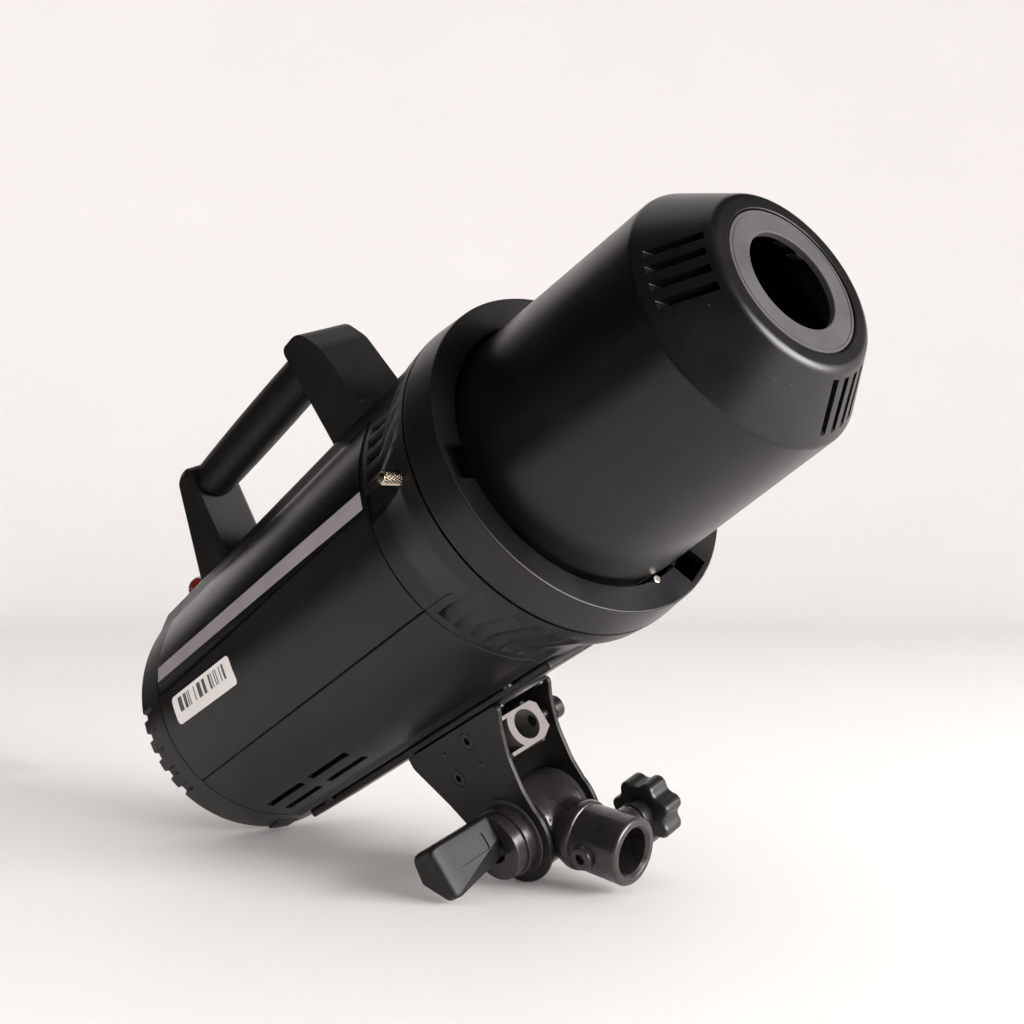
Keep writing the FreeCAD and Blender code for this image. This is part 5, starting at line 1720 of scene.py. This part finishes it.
@dataclass
class StandAdapter:
    """Cast barrel and neck with the stand's socket, its set screw and the star knob."""

    bench: Bench
    pivot: Vector
    along: Vector
    barrel_r: float = 16.6
    barrel_half: float = 11.4
    bolt_r: float = 4.05
    length: float = 45.0
    bore_r: float = 8.5
    socket_r: float = 12.7
    collar: float = 24.5
    knob_along: float = 31.2
    lobes: int = 7
    voxel: float = 0.5

    def build(self) -> None:
        """Builds the adapter and its knob."""
        socket = Axis(self.pivot, self.along)
        across = Axis(self.pivot, Vector((0, 1, 0)))
        self.bench.piece("adapter_casting_and_socket",
                         joined([self.casting(socket, across), self.tube(socket)]),
                         CASTING, "stand_adapter", sharp=40.0)
        self.star_knob()

    def casting(self, socket: Axis, across: Axis) -> BMesh:
        """Barrel that flows into the neck, as a cast part does.

        Args:
            socket: The socket's axis.
            across: The pivot's axis.

        Returns:
            The casting.
        """
        half = self.barrel_half
        barrel = turned([(-half, 0, 0), (-half, self.barrel_r, 1.4), (half, self.barrel_r, 1.4),
                         (half, 0, 0)],
                        across, 96)
        neck = turned([(0, 0, 0), (0, 11.2, 0), (15.5, 11.0, 8), (21, 13.2, 2), (self.collar, 13.2, 0.9),
                       (self.collar, 0, 0)], socket, 96)
        whole = loose_object(joined([barrel, neck]))
        skin = whole.modifiers.new("one_skin", "REMESH")
        skin.mode, skin.voxel_size, skin.adaptivity = "VOXEL", self.voxel, 0.0
        blend = whole.modifiers.new("cast_radii", "SMOOTH")
        blend.factor, blend.iterations = 0.5, 14
        shape = settled(whole)
        bore = rod(across, -half - 2.0, half + 2.0, self.bolt_r, 64)
        return combined(shape, [bore])

    def tube(self, socket: Axis) -> BMesh:
        """Turned socket with a rounded mouth and two bosses."""
        start, end, r = self.collar - 0.4, self.length, self.socket_r
        tube = turned([(start, self.bore_r, 0), (start, r - 0.5, 0), (start + 6.0, r - 0.35, 30.0),
                       (end, r, 1.5),
                       (end, self.bore_r + 1.2, 0.5), (end - 1.3, self.bore_r, 0.3)], socket, 128, 5)
        middle = self.pivot + self.along * self.knob_along
        side = Axis(middle, Vector((0, 1, 0)))
        near = turned([(-14.6, 1.9, 0.2), (-14.6, 4.6, 0.9), (-9.5, 4.6, 0), (-9.5, 1.9, 0)], side, 56)
        far = turned([(9.5, 3.0, 0), (9.5, 6.2, 0), (17.5, 6.2, 0.8), (17.5, 3.0, 0.3)], side, 56)
        return joined([tube, near, far])

    def star_knob(self) -> None:
        """Seven-lobed knob on its screw."""
        middle = self.pivot + self.along * self.knob_along
        axis = Axis(middle, Vector((0, 1, 0)))
        count, high, low = self.lobes * 20, 33.5, 23.0

        def loop(a: float, inset: float) -> list[Vector]:
            """The knob's outline at a height, drawn in by an inset."""
            row = []
            for k in range(count):
                turn = math.tau * k / count
                wave = math.cos(self.lobes * turn)
                r = 12.0 + 1.25 * math.copysign(abs(wave) ** 0.8, wave) - inset
                row.append(axis.at(a, r, turn))
            return row

        rows = [loop(low, 1.4), loop(low + 0.25, 0.6), loop(low + 0.8, 0.12), loop(low + 1.4, 0.0),
                loop(high - 1.6, 0.0), loop(high - 0.9, 0.14), loop(high - 0.3, 0.6), loop(high, 1.5),
                loop(high, 4.2), loop(high - 0.7, 4.9)]
        head = lofted(rows)
        hub = turned([(17.95, 3.05, 0), (17.95, 6.2, 0.5), (23.6, 6.2, 0), (23.6, 3.05, 0)], axis, 64)
        self.bench.piece("star_knob", joined([head, hub]), KNOB, "stand_knob")
        self.bench.eased_copy("star_knob_screw", "stand_knob_screw", STEEL, 0.2)


@dataclass
class ClampLever:
    """Round hub and the moulded paddle that opens out of it."""

    bench: Bench
    pivot: Vector
    tip_y: float = -57.2
    front_x: float = -108.6
    back_x: float = -121.6

    def build(self) -> None:
        """Builds the lever."""
        across = Axis(Vector((self.pivot.x, 0, self.pivot.z)), Vector((0, 1, 0)))
        low = self.bench.span("lever_hub")[0].y
        hub = turned([(low, 5.5, 0.3), (low, 12.4, 0.6), (-21.0, 12.4, 0), (-21.0, 13.4, 0.45),
                      (-16.45, 13.4, 0.35),
                      (-16.45, 4.05, 0.2), (-22.0, 4.05, 0), (-22.0, 5.5, 0)], across, 128, 4)
        self.bench.piece("lever_hub_turned", hub, CASTING, "lever_hub", sharp=28.0)
        self.bench.piece("lever_paddle_moulding", self.paddle(), PADDLE, "lever_paddle")

    def paddle(self) -> BMesh:
        """Paddle whose section grows from the hub to a curved tip, with a recessed label place."""
        rows = []
        stretch = abs(self.tip_y) - 26.0
        for step in (0.0, 0.02, 0.05, 0.15, 0.3, 0.45, 0.6, 0.75, 0.86, 0.93, 0.97, 0.99, 1.0):
            end = max(0.0, (step - 0.86) / 0.14)
            shrink = 2.4 * (1 - math.sqrt(max(0.0, 1 - end * end))) if end else 0.0
            start = 0.5 if step == 0.0 else (0.12 if step < 0.03 else 0.0)
            top = -88.2 + 1.0 * step - shrink - start
            bottom = -104.6 - 3.2 * step + shrink + start
            front, back = self.front_x - shrink * 0.8 - start, self.back_x + shrink * 0.8 + start
            slant_z, slant_x = 7.0 - 6.5 * step, 4.4 - 4.15 * step
            section = [(front, top, 1.7), (front, bottom + slant_z, 0.2), (front - slant_x, bottom, 0.2),
                       (back + 6.4, bottom, 1.6), (back, -97.4, 1.6), (back, top, 1.7)]
            y = -26.0 - stretch * step
            crown = 1.6 * step ** 6
            row = []
            for x, z in rounded(section, 4):
                share = (z - bottom) / (top - bottom) - 0.5
                row.append(Vector((x, y + crown * (2 * share) ** 2, z)))
            rows.append(row)
        body = lofted(rows)
        low, high = (self.front_x - 0.55, -48.0, -99.4), (self.front_x + 2.0, -32.0, -92.6)
        outline = [(low[1], low[2], 1.2), (high[1], low[2], 1.2), (high[1], high[2], 1.2),
                   (low[1], high[2], 1.2)]
        label = prism(rounded(outline, 4), lambda a, b: Vector((low[0], a, b)), Vector((3.0, 0, 0)))
        return eased(combined(body, [label]), 0.14, 1, 55.0)


@dataclass
class RearPanel:
    """Control panel: display, dial, keys, switch, inlet, fuse and sockets."""

    bench: Bench
    dial_teeth: int = 36

    def build(self) -> None:
        """Builds the control panel's pieces."""
        copies = (("control_panel", "rear_panel", REAR, 0.25),
                  ("display_pane", "display_window", WINDOW, 0.3),
                  ("mains_inlet", "power_inlet", GLOSS_PART, 0.3),
                  ("mains_rocker", "power_rocker", GLOSS_PART, 0.35),
                  ("fuse_cap", "fuse_holder", GLOSS_PART, 0.25),
                  ("signal_jacks", "signal_sockets", GLOSS_PART, 0.2),
                  ("menu_key", "menu_button", RUBBER_KEY, 0.5), ("mode_key", "mode_button", RUBBER_KEY, 0.5),
                  ("lamp_key", "lamp_button", RUBBER_KEY, 0.5), ("test_key", "test_button", RUBBER_KEY, 0.5))
        for name, node, finish, width in copies:
            self.bench.eased_copy(name, node, finish, width)
        self.dial()
        self.sensor()

    def dial(self) -> None:
        """Ribbed dial on its shaft."""
        low, high = self.bench.span("dial")
        y, z = (low.y + high.y) / 2, (low.z + high.z) / 2
        axis = Axis(Vector((low.x, y, z)), Vector((1, 0, 0)))
        body = turned([(0, 0, 0), (0, 7.0, 0.6), (0.5, 7.4, 0.3), (0.2, 8.3, 0.5), (6.6, 8.45, 0.4),
                       (6.6, 2.95, 0),
                       (high.x - low.x, 2.95, 0.3), (high.x - low.x, 0, 0)], axis, 96)
        sizes = {"Radius": 8.42, "Length": 5.0, "Tooth Across": 0.9, "Tooth Along": 4.6, "Tooth High": 0.75}
        ribs = self.bench.ridges.make(Axis(axis.start + Vector((0.9, 0, 0)), axis.along), self.dial_teeth,
                                      1, sizes,
                                      KNOB)
        self.bench.piece("setting_dial", joined([body, ribs]), KNOB, "dial", sharp=25.0)

    def sensor(self) -> None:
        """Tinted dome over the slave sensor."""
        low, high = self.bench.span("slave_sensor")
        middle = Vector(((low.x + high.x) / 2, 0, low.z))
        tall = high.z - low.z
        dome = turned([(0, 0, 0), (0, 6.0, 0.2), (tall * 0.44, 6.0, 0), (tall, 6.0, 5.8), (tall, 0, 0)],
                      Axis(middle, Vector((0, 0, 1))), 64, 10)
        self.bench.piece("sensor_dome", dome, RED_DOME, "slave_sensor")


@dataclass
class SmallParts:
    """Fixings of the handle and casings, and the CAD nodes that keep their own shape."""

    bench: Bench

    def build(self) -> None:
        """Sets the screws and dresses the remaining nodes."""
        up = Axis(Vector((0, 0, 0)), Vector((0, 0, 1)))
        screw = turned([(0, 0, 0), (0, 3.1, 0), (1.7, 3.1, 0.6), (1.7, 0, 0)], up, 40)
        screw = eased(combined(screw, [hexagon(up, 0.5, 3.0, 1.5)]), 0.1, 1, 45.0)
        low, high = self.bench.span("housing_screws")
        spine = 58.0
        tops = [(Vector((x, 0, spine)), Vector((0, 0, 1))) for x in (high.x - 3.2, low.x + 3.0)]
        small = turned([(0, 0, 0), (0, 2.0, 0), (1.35, 2.0, 0.45), (1.35, 0, 0)], up, 32)
        small = eased(combined(small, [hexagon(up, 0.3, 3.0, 1.1)]), 0.08, 1, 45.0)
        keel = [(Vector((x, y, -52.6)), Vector((0, 0, -1))) for x in (-210.0, -75.0) for y in (-15.3, 15.3)]
        place = self.bench.fasteners.place
        whole = joined([place(screw, tops, BLACK_STEEL), place(small, keel, BLACK_STEEL)])
        self.bench.piece("casing_screws", whole, BLACK_STEEL, "housing_screws")
        for node, finish in CAD_FINISHES.items():
            self.bench.dress(node, finish)


# ---- studio ----
@dataclass
class Studio:
    """Camera, pale floor and backdrop, and the soft lights."""

    lens_mm: float = 46.14
    eye: tuple[float, float, float] = (0.3995, -0.2947, 0.1240)
    look: tuple[float, float, float] = (-0.7784, 0.6269, 0.0296)
    floor_r: float = 2.6
    wall_high: float = 3.0

    def build(self) -> None:
        """Sets up the whole studio."""
        self.camera()
        self.backdrop()
        self.lights()

    def camera(self) -> None:
        """Camera at the viewing angle, level."""
        data = bpy.data.cameras.new("camera")
        data.lens, data.sensor_width = self.lens_mm, 36.0
        data.clip_start, data.clip_end = 0.01, 50.0
        made = bpy.data.objects.new("camera", data)
        bpy.context.scene.collection.objects.link(made)
        made.location = self.eye
        made.rotation_mode = "QUATERNION"
        made.rotation_quaternion = Vector(self.look).to_track_quat("-Z", "Y")
        bpy.context.scene.camera = made

    def backdrop(self) -> None:
        """Round pale floor that curves up into a pale wall."""
        r, high, curve = self.floor_r, self.wall_high, 0.9
        path = [(0.0, 0.0), (r - curve, 0.0)]
        path += [(r - curve + curve * math.sin(math.radians(a)), curve - curve * math.cos(math.radians(a)))
                 for a in range(6, 91, 6)]
        path.append((r, high))
        bm = bmesh.new()
        count = 96
        rows = [[bm.verts.new((rad * math.cos(math.tau * i / count), rad * math.sin(math.tau * i / count), z))
                 for i in range(count)] for rad, z in path]
        for low, up in zip(rows, rows[1:]):
            for i in range(count):
                k = (i + 1) % count
                bm.faces.new((low[i], low[k], up[k], up[i]))
        bmesh.ops.remove_doubles(bm, verts=bm.verts, dist=1e-5)
        floor = loose_object(bm, "studio_floor")
        floor.data.polygons.foreach_set("use_smooth", [True] * len(floor.data.polygons))
        paper = Finish("studio_paper", (0.775, 0.757, 0.750), 0.62, grain_mm=2.0, grain_depth=0.01,
                       mottle=0.01,
                       patch_mm=300.0, specular=0.3)
        floor.data.materials.append(paper.material())

    def lights(self) -> None:
        """Soft boxes and the pale surroundings."""
        world = bpy.data.worlds.new("studio_air")
        world.use_nodes = True
        bpy.context.scene.world = world
        air = next(n for n in world.node_tree.nodes if n.type == "BACKGROUND")
        air.inputs["Color"].default_value = (1.0, 0.985, 0.978, 1.0)
        air.inputs["Strength"].default_value = 0.72
        self.soft_box("key_window", (1.56, 0.60, 0.47), (0.0, 0.0, 0.15), (1.3, 0.85), 68.0)
        wash = self.soft_box("overhead_wash", (0.0, 0.0, 2.9), (0.0, 0.0, 0.0), (4.4, 4.4), 16.0)
        wash.visible_glossy = False
        self.flag()

    def soft_box(self, name: str, where: Sequence[float], aim: Sequence[float], size: Point,
                 watts: float) -> bpy.types.Object:
        """One rectangular area light.

        Args:
            name: Its name.
            where: Its place.
            aim: The point it faces.
            size: Its width and height.
            watts: Its power.

        Returns:
            The light.
        """
        data = bpy.data.lights.new(name, "AREA")
        data.shape = "RECTANGLE"
        data.size, data.size_y, data.energy = size[0], size[1], watts
        data.color = (1.0, 0.982, 0.968)
        made = bpy.data.objects.new(name, data)
        bpy.context.scene.collection.objects.link(made)
        made.location = where
        made.rotation_mode = "QUATERNION"
        made.rotation_quaternion = (Vector(aim) - Vector(where)).to_track_quat("-Z", "Y")
        return made

    def flag(self) -> None:
        """Black cloth round and above the lamp that only reflections see, open towards the key."""
        bm = bmesh.new()
        swings = list(range(-180, 181, 6))
        grid = {}
        for lift in range(-4, 91, 4):
            for swing in swings:
                e, a = math.radians(lift), math.radians(swing)
                out = Vector((math.cos(a) * math.cos(e), math.sin(a) * math.cos(e), math.sin(e)))
                grid[lift, swing] = out * 2.0 + Vector((0.0, 0.0, 0.10))
        for lift in range(-4, 87, 4):
            for swing in swings[:-1]:
                low_side = -176 <= swing <= -12
                if low_side or (lift >= 28 and not 110 <= swing <= 178):
                    corners = ((lift, swing), (lift, swing + 6), (lift + 4, swing + 6), (lift + 4, swing))
                    bm.faces.new([bm.verts.new(grid[c]) for c in corners])
        near, far = 0.36, 1.95
        for swing in range(-176, -12, 6):
            a, b = math.radians(swing), math.radians(swing + 6)
            ring = ((near, a), (far, a), (far, b), (near, b))
            bm.faces.new([bm.verts.new((r * math.cos(t), r * math.sin(t), 0.003)) for r, t in ring])
        bmesh.ops.remove_doubles(bm, verts=bm.verts, dist=1e-5)
        cloth = loose_object(bm, "black_flag")
        dark = Finish("flag_cloth", (0.002, 0.002, 0.002), 0.9, mottle=0.0, specular=0.0)
        cloth.data.materials.append(dark.material())
        cloth.visible_camera = cloth.visible_diffuse = False
        cloth.visible_shadow = cloth.visible_transmission = False


def main() -> None:
    """Builds the lamp round its frame, then the studio."""
    logging.basicConfig(level=logging.INFO, format="%(name)s %(message)s")
    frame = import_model()
    bench = Bench(frame, LampFrame.from_record(frame["record"]))
    section = HousingSection()
    joints = {j["name"]: j for j in frame["record"]["behaviour"]["joints"]}
    mounts = {m["name"]: m for m in frame["record"]["mounts"]}
    pivot = bench.lamp.point(joints["bracket_tilt"]["pos_m"])
    pivot.y = 0.0
    turn = bench.lamp.matrix.to_3x3().inverted()
    along = (turn @ Vector(mounts["stand_socket"]["axis"])).normalized()
    parts = (Housing(bench, section), FrontEnd(bench, section), Handle(bench), SpotCap(bench),
             TiltBracket(bench),
             StandAdapter(bench, pivot, along), ClampLever(bench, pivot), RearPanel(bench), SmallParts(bench),
             Studio())
    for part in parts:
        part.build()
        log.info("built %s", type(part).__name__)
    scene = bpy.context.scene
    scene.view_settings.view_transform = "Standard"


if __name__ == "__main__":
    main()
